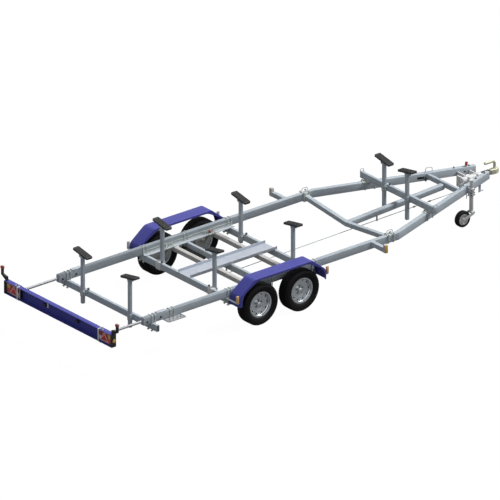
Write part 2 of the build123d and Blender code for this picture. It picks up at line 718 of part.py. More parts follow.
# Rear lamps and number-plate lamps, on the channel's web
with BuildPart() as lamps:
    lamp_y = BAR_END_Y - CAP_PLUG - LAMP_GAP - LAMP_W / 2
    with BuildSketch(Plane.YZ.offset(BAR_WEB - BAR_T)):
        with Locations((lamp_y, BAR_MID_Z), (-lamp_y, BAR_MID_Z)):
            RectangleRounded(LAMP_W, LAMP_H, LAMP_H / 12)
    extrude(amount=-LAMP_D)
keep(lamps, "rear_lamps")

with BuildPart() as plate_lamps:
    with BuildSketch(Plane.YZ.offset(BAR_WEB - BAR_T)):
        with Locations((PLATE_LAMP_Y, BAR_MID_Z), (-PLATE_LAMP_Y, BAR_MID_Z)):
            RectangleRounded(PLATE_LAMP_W, PLATE_LAMP_H, PLATE_LAMP_H / 8)
    extrude(amount=-PLATE_LAMP_D)
keep(plate_lamps, "number_plate_lamps")

# End caps: a plate over each end, with a plug inside the channel
with BuildPart() as end_caps:
    for side in SIDES.values():
        with BuildSketch(Plane.XZ.offset(-side * BAR_END_Y)):
            with Locations((BAR_REAR, BAR_MID_Z)):
                Rectangle(BAR_D + HOLDER_GROW, BAR_H + 2 * HOLDER_GROW, align=(Align.MIN, Align.CENTER))
        extrude(amount=-side * CAP_T)
        with BuildSketch(Plane.XZ.offset(-side * BAR_END_Y)):
            with Locations((BAR_REAR, BAR_MID_Z)):
                Rectangle(BAR_D - BAR_T, BAR_H - 2 * BAR_T, align=(Align.MIN, Align.CENTER))
        extrude(amount=side * CAP_PLUG)
keep(end_caps, "light_bar_end_caps")

# Outline markers: black arms that rise from the lamp holders, each with a lens on top
horn_y = BAR_END_Y + HORN_REACH
horn_top = HOLDER_TOP + HORN_RISE
bar_mid_x = BAR_REAR + BAR_D / 2
with BuildPart() as horns:
    for side in SIDES.values():
        with BuildSketch(Plane.YZ.offset(bar_mid_x - HORN_T / 2)):
            outline_face([
                (side * (BAR_END_Y - HORN_ROOT_W), HOLDER_TOP), (side * (BAR_END_Y + CAP_T), HOLDER_TOP),
                (side * (horn_y + HORN_STEM_W / 2), HOLDER_TOP + HORN_ELBOW),
                (side * (horn_y + HORN_STEM_W / 2), horn_top), (side * (horn_y - HORN_STEM_W / 2), horn_top),
                (side * (horn_y - HORN_STEM_W / 2), HOLDER_TOP + HORN_ELBOW + HORN_STEM_W / 2),
                (side * (BAR_END_Y - HORN_ROOT_W), HOLDER_TOP + HORN_ELBOW),
            ])
        extrude(amount=HORN_T)
keep(horns, "outline_marker_arms")

with BuildPart() as horn_lenses:
    with BuildSketch(Plane.XY.offset(horn_top)):
        with Locations((bar_mid_x, horn_y), (bar_mid_x, -horn_y)):
            RectangleRounded(HORN_LENS_D, HORN_LENS_W, HORN_LENS_W / 8)
    extrude(amount=HORN_LENS_H)
keep(horn_lenses, "outline_marker_lenses")

# Step plate under the right rail
with BuildPart() as step_plate:
    step_w = STEP_OUT_Y - RAIL_INSIDE_Y
    with BuildSketch(Plane.XY.offset(RAIL_BOTTOM - STEP_T)):
        with Locations((STEP_X, -RAIL_INSIDE_Y - step_w / 2)):
            RectangleRounded(STEP_L, step_w, STEP_CORNER_R)
    extrude(amount=STEP_T)
keep(step_plate, "step_plate")

# Wiring duct behind the mid crossbeam, on the left
with BuildPart() as duct:
    with BuildSketch(Plane.XZ.offset(-RAIL_INSIDE_Y)):
        with Locations((MID_BEAM_X - DUCT_W / 2, BEAM_BOTTOM + DUCT_H / 2)):
            RectangleRounded(DUCT_W, DUCT_H, DUCT_H / 8)
    extrude(amount=DUCT_L)
keep(duct, "wiring_duct")

# Brake rod with its hangers
rod_rear = Vector(MID_BEAM_X, 0, ROD_REAR_Z)
rod_front = Vector(HOUSING_REAR + FLANGE_T, 0, ROD_FRONT_Z)
rod_rise = (rod_front.Z - rod_rear.Z) / (rod_front.X - rod_rear.X)
HANGERS = [
    (MID_BEAM_X + BEAM_W / 2, BEAM_BOTTOM),
    (HANGER_X, spine_top(HANGER_X - HANGER_T / 2) - SPINE_H),
    (HOUSING_REAR + FLANGE_T / 2, COUPLING_Z - FLANGE_H / 2),
]
with BuildPart() as brake_rod:
    with BuildSketch(Plane(origin=rod_rear, x_dir=(0, 1, 0), z_dir=rod_front - rod_rear)):
        Circle(ROD_R)
    extrude(amount=(rod_front - rod_rear).length)
    for hanger_x, hanger_top in HANGERS:
        rod_z = ROD_REAR_Z + rod_rise * (hanger_x - MID_BEAM_X)
        hanger_low = rod_z - HANGER_W / 2
        with BuildSketch(Plane.YZ.offset(hanger_x - HANGER_T / 2)):
            with Locations((0, (hanger_low + hanger_top) / 2)):
                Rectangle(HANGER_W, hanger_top - hanger_low)
        extrude(amount=HANGER_T)
keep(brake_rod, "brake_rod")

# Overrun housing: a round casting with a rear flange, held between the drawbar's ends by two bridges
with BuildPart() as housing:
    with BuildSketch(Plane.YZ.offset(HOUSING_REAR)):
        with Locations((0, COUPLING_Z)):
            Circle(HOUSING_R)
    extrude(amount=HOUSING_L)
    with BuildSketch(Plane.YZ.offset(HOUSING_REAR)):
        with Locations((0, COUPLING_Z)):
            RectangleRounded(FLANGE_W, FLANGE_H, FLANGE_CORNER_R)
    extrude(amount=FLANGE_T)
    for setback in (BRIDGE_REAR_SETBACK, BRIDGE_FRONT_SETBACK):
        bridge_rear = DRAWBAR_X - setback
        bridge_front = bridge_rear + FLANGE_T
        bridge_rear_y = drawbar_y(bridge_rear, -RAIL_W / 2)
        bridge_front_y = drawbar_y(bridge_front, -RAIL_W / 2)
        with BuildSketch(Plane.XY.offset(COUPLING_Z - BRIDGE_H / 2)):
            outline_face([(bridge_rear, bridge_rear_y), (bridge_front, bridge_front_y),
                          (bridge_front, -bridge_front_y), (bridge_rear, -bridge_rear_y)])
        extrude(amount=BRIDGE_H)
keep(housing, "overrun_housing")

# Bellows: rubber folds around the coupling shaft
with BuildPart() as bellows:
    fold_l = BELLOWS_L / BELLOWS_FOLDS
    folds = [(HOUSING_FRONT, COUPLING_Z), (HOUSING_FRONT, COUPLING_Z + BELLOWS_WAIST_R)]
    for fold in range(BELLOWS_FOLDS):
        fold_x = HOUSING_FRONT + fold * fold_l
        folds.append((fold_x + fold_l / 2, COUPLING_Z + BELLOWS_R))
        folds.append((fold_x + fold_l, COUPLING_Z + BELLOWS_WAIST_R))
    folds.append((HOUSING_FRONT + BELLOWS_L, COUPLING_Z))
    with BuildSketch(Plane.XZ):
        outline_face(folds)
    revolve(axis=Axis((HOUSING_FRONT, 0, COUPLING_Z), (1, 0, 0)))
keep(bellows, "bellows")

# Coupling head: shaft end, rounded shell and the socket for the tow ball below
ball_x = FRONT_REACH - BALL_SETBACK
head_bottom = COUPLING_Z - HEAD_H / 2
ball_z = head_bottom + SOCKET_WALL_L
with BuildPart() as coupling:
    with BuildSketch(Plane.YZ.offset(HEAD_REAR)):
        with Locations((0, COUPLING_Z)):
            Circle(SHAFT_R)
    extrude(amount=ball_x - HEAD_REAR)
    with BuildSketch(Plane.XY.offset(head_bottom)) as head_plan:
        with Locations((ball_x, 0)):
            Circle(HEAD_W / 2)
        with Locations((FRONT_REACH - HEAD_W / 3, 0)):
            Circle(HEAD_W / 3)
        with Locations(((HEAD_REAR + ball_x) / 2, 0)):
            Circle(HEAD_W / 2.4)
        make_hull()
    extrude(amount=HEAD_H)
    fillet(coupling.edges().group_by(Axis.Z)[-1], radius=HEAD_H / 5)
    with BuildSketch(Plane.XY.offset(head_bottom)):
        with Locations((ball_x, 0)):
            Circle(SOCKET_R)
    extrude(amount=SOCKET_WALL_L, mode=Mode.SUBTRACT)
    with Locations((ball_x, 0, ball_z)):
        Sphere(SOCKET_R, mode=Mode.SUBTRACT)
keep(coupling, "coupling_head")

# Coupling handle: a bent bar that rises from the head and points back
with BuildPart() as handle:
    handle_x = FRONT_REACH - HANDLE_SETBACK
    handle_root = COUPLING_Z + HEAD_H / 2
    handle_top = handle_root + HANDLE_RISE
    with BuildLine() as handle_line:
        FilletPolyline((handle_x, 0, handle_root), (handle_x, 0, handle_top),
                       (handle_x - HANDLE_BACK, 0, handle_top), radius=HANDLE_BEND_R)
    with BuildSketch(Plane.XY.offset(handle_root)):
        with Locations((handle_x, 0)):
            Circle(HANDLE_R)
    sweep(path=handle_line.line)
keep(handle, "coupling_handle")

# Socket bracket below the right drawbar, with the pin at its foot
with BuildPart() as socket_bracket:
    bracket_x = DRAWBAR_X - BRACKET_SETBACK
    bracket_y = -drawbar_y(bracket_x, 0)
    with BuildSketch(Plane.XY.offset(RAIL_BOTTOM - BRACKET_DROP)):
        with Locations((bracket_x, bracket_y)):
            Rectangle(BRACKET_W, BRACKET_T, rotation=math.degrees(BEND_ANGLE))
    extrude(amount=BRACKET_DROP)
    with BuildSketch(Plane.YZ.offset(bracket_x)):
        with Locations((bracket_y, RAIL_BOTTOM - BRACKET_DROP + 2 * BRACKET_PIN_R)):
            Circle(BRACKET_PIN_R)
    extrude(amount=BRACKET_PIN_L)
keep(socket_bracket, "socket_bracket")

# Red knob on the left drawbar
with BuildPart() as knob:
    knob_x = DRAWBAR_X - KNOB_SETBACK
    knob_y = drawbar_y(knob_x, 0)
    knob_top = RAIL_TOP + KNOB_STEM_H + KNOB_H
    with BuildSketch(Plane.XZ.offset(-knob_y)):
        outline_face([
            (knob_x, RAIL_TOP), (knob_x + KNOB_STEM_R, RAIL_TOP),
            (knob_x + KNOB_STEM_R, RAIL_TOP + KNOB_STEM_H),
            (knob_x + KNOB_R, RAIL_TOP + KNOB_STEM_H + KNOB_H / 2),
            (knob_x + KNOB_STEM_R, knob_top), (knob_x, knob_top),
        ])
    revolve(axis=Axis((knob_x, knob_y, 0), (0, 0, 1)))
keep(knob, "red_knob")

# Jockey clamp: a plate on the outer face of the right drawbar, two collars and the tee handle behind them
JOCKEY_Y = -drawbar_y(JOCKEY_X, RAIL_W / 2) - JOCKEY_STANDOFF
with BuildPart() as clamp:
    collar_r = JOCKEY_TUBE_R + CLAMP_WALL
    low_x = JOCKEY_X - CLAMP_SPREAD / 2
    high_x = JOCKEY_X + CLAMP_SPREAD / 2
    outer_face = Plane(origin=(JOCKEY_X, -drawbar_y(JOCKEY_X, RAIL_W / 2), 0), x_dir=(0, 0, 1),
                       z_dir=(math.sin(BEND_ANGLE), -math.cos(BEND_ANGLE), 0))
    for collar_low in (CLAMP_BOTTOM, CLAMP_BOTTOM + CLAMP_H - COLLAR_H):
        with BuildSketch(Plane.XY.offset(collar_low)):
            with Locations((JOCKEY_X, JOCKEY_Y)):
                Circle(collar_r)
            outline_face([
                (low_x, -drawbar_y(low_x, RAIL_W / 2)), (high_x, -drawbar_y(high_x, RAIL_W / 2)),
                (JOCKEY_X + collar_r, JOCKEY_Y), (JOCKEY_X - collar_r, JOCKEY_Y),
            ])
            with Locations((JOCKEY_X, JOCKEY_Y)):
                Circle(JOCKEY_TUBE_R + FIT_GAP, mode=Mode.SUBTRACT)
        extrude(amount=COLLAR_H)
    with BuildSketch(Plane.XY.offset(CLAMP_BOTTOM)):
        outline_face([
            (low_x, -drawbar_y(low_x, RAIL_W / 2)), (high_x, -drawbar_y(high_x, RAIL_W / 2)),
            (high_x, -drawbar_y(high_x, RAIL_W / 2 + CLAMP_WALL)),
            (low_x, -drawbar_y(low_x, RAIL_W / 2 + CLAMP_WALL)),
        ])
    extrude(amount=CLAMP_H)
    split(bisect_by=outer_face, keep=Keep.TOP)
    tee_z = CLAMP_BOTTOM + COLLAR_H / 2
    tee_root = JOCKEY_X - collar_r + CLAMP_WALL / 2
    with BuildSketch(Plane.YZ.offset(tee_root)):
        with Locations((JOCKEY_Y, tee_z)):
            Circle(TEE_STEM_R)
    extrude(amount=-TEE_STEM)
    with BuildSketch(Plane.XY.offset(tee_z - TEE_BAR / 2)):
        with Locations((tee_root - TEE_STEM, JOCKEY_Y)):
            Circle(TEE_R)
    extrude(amount=TEE_BAR)
keep(clamp, "jockey_clamp")

# Jockey tube: slides through the clamp
with BuildPart() as jockey_tube:
    with BuildSketch(Plane.XY.offset(JOCKEY_TUBE_BOTTOM)):
        with Locations((JOCKEY_X, JOCKEY_Y)):
            Circle(JOCKEY_TUBE_R)
    extrude(amount=JOCKEY_TUBE_TOP - JOCKEY_TUBE_BOTTOM)
    with BuildSketch(Plane.XY.offset(JOCKEY_TUBE_BOTTOM)):
        with Locations((JOCKEY_X, JOCKEY_Y)):
            Circle(JOCKEY_BORE_R)
    extrude(amount=STEM_L + RUNNING_GAP, mode=Mode.SUBTRACT)
keep(jockey_tube, "jockey_tube")

# Jockey fork: stem in the tube, crown and two cheeks that trail to the wheel's axle
wheel_mid_x = JOCKEY_X - JOCKEY_TRAIL
cheek_in = JOCKEY_WHEEL_W / 2 + RUNNING_GAP
with BuildPart() as fork:
    with BuildSketch(Plane.XY.offset(JOCKEY_TUBE_BOTTOM - FIT_GAP)):
        with Locations((JOCKEY_X, JOCKEY_Y)):
            Circle(JOCKEY_BORE_R - FIT_GAP)
    extrude(amount=STEM_L)
    with BuildSketch(Plane.XY.offset(JOCKEY_TUBE_BOTTOM - FIT_GAP)):
        with Locations((JOCKEY_X, JOCKEY_Y)):
            RectangleRounded(JOCKEY_TUBE_R * 2, 2 * (cheek_in + CHEEK_T), CHEEK_T)
    extrude(amount=-CROWN_H)
    for side in SIDES.values():
        with BuildSketch(Plane.XZ.offset(-JOCKEY_Y - side * cheek_in)):
            with Locations((JOCKEY_X, JOCKEY_TUBE_BOTTOM - FIT_GAP - CHEEK_W / 2)):
                Circle(CHEEK_W / 2)
            with Locations((wheel_mid_x, JOCKEY_WHEEL_R)):
                Circle(CHEEK_W / 2)
            make_hull()
        extrude(amount=-side * CHEEK_T)
    with BuildSketch(Plane.XZ.offset(-JOCKEY_Y - cheek_in)):
        with Locations((wheel_mid_x, JOCKEY_WHEEL_R)):
            Circle(JOCKEY_AXLE_R)
    extrude(amount=2 * cheek_in)
keep(fork, "jockey_fork")

# Jockey rim and its solid tyre
jockey_hub = (wheel_mid_x, JOCKEY_Y, JOCKEY_WHEEL_R)
jockey_section = Plane(origin=jockey_hub, x_dir=(0, 1, 0), z_dir=(1, 0, 0))
jockey_spin = Axis(jockey_hub, (0, 1, 0))
half_w = JOCKEY_WHEEL_W / 2
rim_half = half_w - JOCKEY_RIM_IN
web_r = JOCKEY_RIM_R - 2 * JOCKEY_RIM_WALL
with BuildPart() as jockey_rim:
    with BuildSketch(jockey_section):
        outline_face([
            (-half_w, JOCKEY_AXLE_R + FIT_GAP), (half_w, JOCKEY_AXLE_R + FIT_GAP),
            (half_w, JOCKEY_AXLE_R * 2), (JOCKEY_RIM_WALL, JOCKEY_AXLE_R * 3),
            (JOCKEY_RIM_WALL, web_r), (rim_half, JOCKEY_RIM_R - JOCKEY_RIM_WALL),
            (rim_half, JOCKEY_RIM_R), (-rim_half, JOCKEY_RIM_R),
            (-rim_half, JOCKEY_RIM_R - JOCKEY_RIM_WALL), (-JOCKEY_RIM_WALL, web_r),
            (-JOCKEY_RIM_WALL, JOCKEY_AXLE_R * 3), (-half_w, JOCKEY_AXLE_R * 2),
        ])
    revolve(axis=jockey_spin)
keep(jockey_rim, "jockey_rim")
seat_r = JOCKEY_RIM_R + FIT_GAP
seat_half = half_w - JOCKEY_SEAT_IN
shoulder_r = JOCKEY_WHEEL_R - JOCKEY_SHOULDER
shoulder_half = half_w - JOCKEY_SHOULDER
jockey_half = [
    (seat_half, seat_r + JOCKEY_BEAD), (half_w, (seat_r + JOCKEY_WHEEL_R) / 2),
    (half_w - JOCKEY_SHOULDER / 2, shoulder_r),
    (shoulder_half, JOCKEY_WHEEL_R),
]
jockey_tyre = ring_of_flats(jockey_hub, jockey_half, seat_r, JOCKEY_SIDES)
keep(jockey_tyre, "jockey_tyre")

# Lashing eyes: place along, place across and turn on the left, height of the feet, distance between them
drawbar_turn = -math.degrees(BEND_ANGLE)
nose_front = NOSE_BEAM_X + NOSE_BEAM_W
EYES = [
    (VEE_X + VEE_W / 2, RAIL_Y, 0.0, RAIL_TOP, EYE_L),
    (FRONT_BEAM_X + BEAM_W / 2, FRONT_BEAM_L / 2 - EYE_END_GAP, 0.0, RAIL_TOP + BEAM_H - EYE_LAP,
     BEAM_W + 2 * EYE_WIRE_R),
    (nose_front, drawbar_y(nose_front, 0), drawbar_turn, RAIL_TOP, EYE_L),
]
with BuildPart() as eyes:
    for eye_x, eye_y, turn, eye_z, spread in EYES:
        for side in SIDES.values():
            along = Vector(1, 0, 0).rotate(Axis.Z, side * turn)
            across = Vector(0, -1, 0).rotate(Axis.Z, side * turn)
            stand = Plane(origin=(eye_x, side * eye_y, eye_z), x_dir=along, z_dir=across)
            with BuildLine(stand) as wire:
                FilletPolyline((-spread / 2, 0), (-spread / 2, EYE_H), (spread / 2, EYE_H), (spread / 2, 0),
                               radius=EYE_BEND_R)
            with BuildSketch(Plane(origin=wire.line @ 0, z_dir=wire.line % 0)):
                Circle(EYE_WIRE_R)
            sweep(path=wire.line)
keep(eyes, "lashing_eyes")
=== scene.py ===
# %% [markdown]
# # A tandem-axle boat trailer, dressed in Blender
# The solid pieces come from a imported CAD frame. This lesson loads that frame, gives every piece its
# finish, rounds the steel edges, and adds what a catalogue picture of the trailer shows: bolts,
# U-bolts, weld seams, tyre tread, lamps, ribbed pads and rubber folds. Lengths are in metres, +X runs
# forward to the coupling, +Y to the left and +Z up.

# %% Load the frame
import json
import math
import bmesh
import bpy
from mathutils import Matrix, Vector


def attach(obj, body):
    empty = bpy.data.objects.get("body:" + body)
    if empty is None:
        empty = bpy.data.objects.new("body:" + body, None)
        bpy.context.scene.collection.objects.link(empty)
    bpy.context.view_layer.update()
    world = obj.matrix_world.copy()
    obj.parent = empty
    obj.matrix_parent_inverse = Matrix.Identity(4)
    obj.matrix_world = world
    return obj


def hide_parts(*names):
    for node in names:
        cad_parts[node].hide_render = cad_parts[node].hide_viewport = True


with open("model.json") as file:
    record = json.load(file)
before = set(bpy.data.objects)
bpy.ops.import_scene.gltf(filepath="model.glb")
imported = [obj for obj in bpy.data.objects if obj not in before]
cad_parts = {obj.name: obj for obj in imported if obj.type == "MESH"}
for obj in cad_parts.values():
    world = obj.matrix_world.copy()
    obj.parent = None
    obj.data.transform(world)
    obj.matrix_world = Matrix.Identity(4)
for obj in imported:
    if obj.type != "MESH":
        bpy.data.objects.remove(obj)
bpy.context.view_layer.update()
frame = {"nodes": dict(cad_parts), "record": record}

scene = bpy.context.scene
body_of = {name: body for body, names in frame["record"]["behaviour"]["bodies"].items() for name in names}
slot_of = {part["node"]: part["material_slot"] for part in frame["record"]["subparts"]}

# %% [markdown]
# ## Camera
# The picture is drawn almost without perspective: parallel rails stay parallel. An orthographic camera
# would do, but a very long lens from far away gives the same picture and lets the other views fit the
# object by the lens. The view comes from the right rear, looking down by about 24 degrees.

# %% Camera
VIEW_AZIMUTH = math.radians(-39.3)
VIEW_ELEVATION = math.radians(24.28)
VIEW_WIDTH = 7.143
LENS_MM, SENSOR_MM = 1550.0, 36.0
aim = Vector((-0.5586, -0.0127, 0.5313))
back = Vector((
    math.sin(VIEW_AZIMUTH) * math.cos(VIEW_ELEVATION),
    -math.cos(VIEW_AZIMUTH) * math.cos(VIEW_ELEVATION),
    math.sin(VIEW_ELEVATION),
))
distance = VIEW_WIDTH * LENS_MM / SENSOR_MM
camera_data = bpy.data.cameras.new("catalogue_camera")
camera_data.sensor_width = SENSOR_MM
camera_data.lens = LENS_MM
camera_data.clip_start = 1.0
camera_data.clip_end = distance * 1.5
camera = bpy.data.objects.new("catalogue_camera", camera_data)
camera.location = aim + back * distance
camera.rotation_mode = "QUATERNION"
camera.rotation_quaternion = (-back).to_track_quat("-Z", "Y")
scene.collection.objects.link(camera)
scene.camera = camera
print("camera distance:", round(distance, 1))

# %% [markdown]
# ## Helpers for node trees
# The world, the finishes and the Geometry Nodes are all node trees. One helper adds a node with its
# inputs, and two more add Math nodes.


# %% Node helpers
def feed(tree, made, inputs):
    """Give a node's inputs, by name or number: a socket, another node's first output, or a fixed value."""
    for label, value in inputs.items():
        if isinstance(value, bpy.types.Node):
            value = value.outputs[0]
        if isinstance(value, bpy.types.NodeSocket):
            tree.links.new(value, made.inputs[label])
        else:
            made.inputs[label].default_value = value
    return made


def node(tree, kind, inputs=None, **settings):
    """A new node with its settings and inputs."""
    made = tree.nodes.new(kind)
    for label, value in settings.items():
        setattr(made, label, value)
    return feed(tree, made, inputs or {})


def calc(tree, operation, first, second):
    """A Math node."""
    return node(tree, "ShaderNodeMath", {0: first, 1: second}, operation=operation)


def scaled(tree, value, factor, plus):
    """A value times a factor, plus an offset."""
    return calc(tree, "ADD", calc(tree, "MULTIPLY", value, factor), plus)


# %% [markdown]
# ## Light, floor and background
# The catalogue picture is lit softly from above and from the front, so tops are brightest, the right
# faces come next and the rear faces are darkest. One wide sun gives that order with soft shadow edges, a
# much weaker one from behind opens up the channel of the light bar, and a dim world fills the rest. The
# background is white because the world and the floor show white to the camera, not because the object
# gets more light.

# %% Background and suns
scene.view_settings.view_transform = "Standard"
world = bpy.data.worlds.new("studio")
scene.world = world
world.use_nodes = True
sky = world.node_tree
sky.nodes.clear()
rays = node(sky, "ShaderNodeLightPath").outputs
seen = calc(sky, "MAXIMUM", rays["Is Camera Ray"], rays["Is Transmission Ray"])
seen = calc(sky, "MAXIMUM", seen, rays["Is Glossy Ray"])
fill = node(sky, "ShaderNodeBackground", {"Color": (0.93, 0.96, 1.0, 1.0), "Strength": 0.18})
white = node(sky, "ShaderNodeBackground", {"Strength": 1.0})
either = node(sky, "ShaderNodeMixShader", {"Fac": seen, 1: fill, 2: white})
node(sky, "ShaderNodeOutputWorld", {"Surface": either})


def soft_sun(name, energy, spread_deg, comes_from):
    """A sun with soft shadow edges."""
    data = bpy.data.lights.new(name, "SUN")
    data.energy = energy
    data.angle = math.radians(spread_deg)
    lamp = bpy.data.objects.new(name, data)
    lamp.rotation_mode = "QUATERNION"
    lamp.rotation_quaternion = Vector(comes_from).to_track_quat("Z", "Y")
    scene.collection.objects.link(lamp)


soft_sun("soft_sun", 3.1, 24, (0.54, -0.15, 0.83))
soft_sun("rear_fill", 0.30, 80, (-0.62, -0.20, 0.76))
print("suns:", len(bpy.data.lights))

# %% Floor
FLOOR_REACH = 60.0
floor_mesh = bpy.data.meshes.new("studio_floor")
floor_corners = [(x * FLOOR_REACH, y * FLOOR_REACH, 0) for x, y in ((-1, -1), (1, -1), (1, 1), (-1, 1))]
floor_mesh.from_pydata(floor_corners, [], [(0, 1, 2, 3)])
floor = bpy.data.objects.new("studio_floor", floor_mesh)
scene.collection.objects.link(floor)
floor_finish = bpy.data.materials.new("studio_floor")
floor_finish.use_nodes = True
tree = floor_finish.node_tree
tree.nodes.clear()
share = calc(tree, "MULTIPLY", node(tree, "ShaderNodeLightPath").outputs["Is Camera Ray"], 0.80)
matt = node(tree, "ShaderNodeBsdfDiffuse", {"Color": (0.20, 0.20, 0.20, 1.0)})
glow = node(tree, "ShaderNodeEmission", {"Color": (1.0, 1.0, 1.0, 1.0), "Strength": 1.22})
both = node(tree, "ShaderNodeMixShader", {"Fac": share, 1: matt, 2: glow})
node(tree, "ShaderNodeOutputMaterial", {"Surface": both})
floor_mesh.materials.append(floor_finish)
print("stage: floor, two suns and white world")

# %% [markdown]
# ## Shared surface effects
# Zinc, paint, plastic and rubber on a trailer share a few effects: crystal-like spangle on zinc, fine
# grain in every moulded or sprayed surface, and road dust that gathers low down. Each effect is a
# shader node group that is built once. A group only makes values, colours and masks, so that the
# Principled shader stays in each material, where the exporter can find it.


# %% Making and placing a group
def group(name, inputs, outputs):
    """A new shader node group with float inputs (name: value) and float outputs."""
    made = bpy.data.node_groups.new(name, "ShaderNodeTree")
    for label, value in inputs.items():
        socket = made.interface.new_socket(label, in_out="INPUT", socket_type="NodeSocketFloat")
        socket.default_value = value
    for label in outputs:
        made.interface.new_socket(label, in_out="OUTPUT", socket_type="NodeSocketFloat")
    return made, node(made, "NodeGroupInput").outputs


def placed(tree, shared, **values):
    """One of the groups in a material, with its own values."""
    return node(tree, "ShaderNodeGroup", values, node_tree=shared).outputs


def object_point(tree):
    """The point on the surface in the object's own coordinates."""
    return node(tree, "ShaderNodeTexCoord").outputs["Object"]


# %% Spangle, grain and dust
spangle, put = group("zinc_spangle", {"Scale": 40.0, "Contrast": 0.5}, ["Shade", "Gloss"])
cells = node(spangle, "ShaderNodeTexVoronoi", {"Vector": object_point(spangle), "Scale": put["Scale"]}, feature="F1")
blur = node(spangle, "ShaderNodeTexNoise", {"Vector": object_point(spangle), "Detail": 4.0,
                                            "Scale": calc(spangle, "MULTIPLY", put["Scale"], 0.09)})
flake = calc(spangle, "SUBTRACT", node(spangle, "ShaderNodeSeparateColor", {0: cells.outputs["Color"]}), 0.5)
cloud = calc(spangle, "SUBTRACT", blur, 0.5)
mixed = calc(spangle, "ADD", calc(spangle, "MULTIPLY", flake, 0.5), calc(spangle, "MULTIPLY", cloud, 1.4))
node(spangle, "NodeGroupOutput", {"Shade": scaled(spangle, mixed, put["Contrast"], 0.5),
                                  "Gloss": scaled(spangle, flake, 0.6, 0.5)})

grain, put = group("fine_grain", {"Scale": 600.0, "Depth": 0.2}, ["Height"])
noise = node(grain, "ShaderNodeTexNoise", {"Vector": object_point(grain), "Scale": put["Scale"], "Detail": 3.0})
node(grain, "NodeGroupOutput", {"Height": calc(grain, "MULTIPLY", noise, put["Depth"])})

dust, put = group("road_dust", {"Reach": 0.5, "Strength": 0.4}, ["Mask"])
where = node(dust, "ShaderNodeSeparateXYZ", {0: object_point(dust)})
patches = node(dust, "ShaderNodeTexNoise", {"Vector": object_point(dust), "Scale": 9.0, "Detail": 6.0,
                                            "Roughness": 0.65})
near_floor = calc(dust, "SUBTRACT", 1.0, calc(dust, "DIVIDE", where.outputs["Z"], put["Reach"]))
held = calc(dust, "MAXIMUM", near_floor, 0.0)
mottled = calc(dust, "MULTIPLY", held, calc(dust, "MULTIPLY", patches, 1.5))
strong = calc(dust, "MULTIPLY", mottled, put["Strength"])
node(dust, "NodeGroupOutput", {"Mask": calc(dust, "MINIMUM", strong, 1.0)})
print("shader groups:", [g.name for g in (spangle, grain, dust)])

# %% [markdown]
# ## Finishes
# Every finish starts from one recipe: a base colour that drifts a little over the surface, dust mixed
# in low down, roughness that follows the same drift, and a fine bump. The numbers differ: hot-dip zinc
# is a dull light grey with large spangle, the blue paint is semi-gloss, and rubber is nearly black.
# Picture textures could do this, but patterns made from coordinates need no image files and show no
# seams. Fixed numbers sit on the Principled sockets themselves.

# %% The recipes for a finish and for a lens
DUST_COLOUR = (0.30, 0.27, 0.23, 1.0)
LENS_RIBS = 60.0


def finish(name, light, dark, rough, metal=0.0, scale=40.0, contrast=0.5, grain_scale=600.0, grain_depth=0.2,
           dust_reach=0.4, dust_strength=0.35, coat=0.0, specular=0.5, bump=0.15, gloss_drift=0.16):
    """A material whose colour drifts between dark and light, with grain and low dust."""
    made = bpy.data.materials.new(name)
    made.use_nodes = True
    tree = made.node_tree
    drift = placed(tree, spangle, Scale=scale, Contrast=contrast)
    road = placed(tree, dust, Reach=dust_reach, Strength=dust_strength)
    skin = placed(tree, grain, Scale=grain_scale, Depth=grain_depth)
    colour = node(tree, "ShaderNodeMix", {0: drift["Shade"], 6: (*dark, 1.0), 7: (*light, 1.0)}, data_type="RGBA")
    dusty = node(tree, "ShaderNodeMix", {0: road["Mask"], 6: colour.outputs[2], 7: DUST_COLOUR}, data_type="RGBA")
    gloss = scaled(tree, drift["Gloss"], gloss_drift, rough - gloss_drift / 2)
    dull = calc(tree, "ADD", gloss, calc(tree, "MULTIPLY", road["Mask"], 0.3))
    relief = node(tree, "ShaderNodeBump", {"Height": skin["Height"], "Strength": bump, "Distance": 0.001})
    feed(tree, tree.nodes["Principled BSDF"], {
        "Metallic": metal, "Specular IOR Level": specular, "Coat Weight": coat, "Coat Roughness": 0.12,
        "Base Color": dusty.outputs[2], "Roughness": calc(tree, "MINIMUM", dull, 1.0), "Normal": relief})
    return made


def lens(name, light, dark):
    """A moulded lamp lens: clear-coated colour with fine upright ribs."""
    made = finish(name, light, dark, 0.16, scale=18.0, contrast=0.3, coat=0.8, dust_strength=0.1)
    tree = made.node_tree
    ribs = node(tree, "ShaderNodeTexWave", {"Vector": object_point(tree), "Scale": LENS_RIBS}, bands_direction="Y")
    relief = node(tree, "ShaderNodeBump", {"Height": ribs.outputs["Fac"], "Strength": 0.35, "Distance": 0.002})
    feed(tree, tree.nodes["Principled BSDF"], {"Normal": relief})
    return made


# %% Zinc, steel and paint
hot_dip_zinc = finish("hot_dip_zinc", (0.555, 0.615, 0.665), (0.425, 0.48, 0.53), 0.55, specular=0.3,
                      scale=55.0, contrast=0.75)
keel_zinc = finish("keel_zinc", (0.60, 0.64, 0.70), (0.46, 0.50, 0.57), 0.42, metal=0.25, scale=55.0, contrast=0.7)
axle_zinc = finish("axle_zinc", (0.66, 0.64, 0.62), (0.50, 0.49, 0.48), 0.55, metal=0.1, scale=70.0, contrast=0.7)
bright_zinc = finish("bright_zinc", (0.74, 0.79, 0.72), (0.62, 0.67, 0.60), 0.38, scale=180.0)
yellow_zinc = finish("yellow_zinc", (0.84, 0.83, 0.64), (0.70, 0.69, 0.52), 0.40, metal=0.05,
                     scale=120.0, contrast=0.7)
# Pale speckled cast zinc. Its colour is also raised as painted light, so the housing's rear plate, which lies in
# shade, reads lit.
cast_zinc_with_painted_light = finish("cast_zinc_with_painted_light", (0.92, 0.92, 0.91), (0.60, 0.60, 0.61), 0.6, metal=0.05,
                        scale=160.0, contrast=1.6, grain_scale=260.0, grain_depth=0.8, bump=0.5)
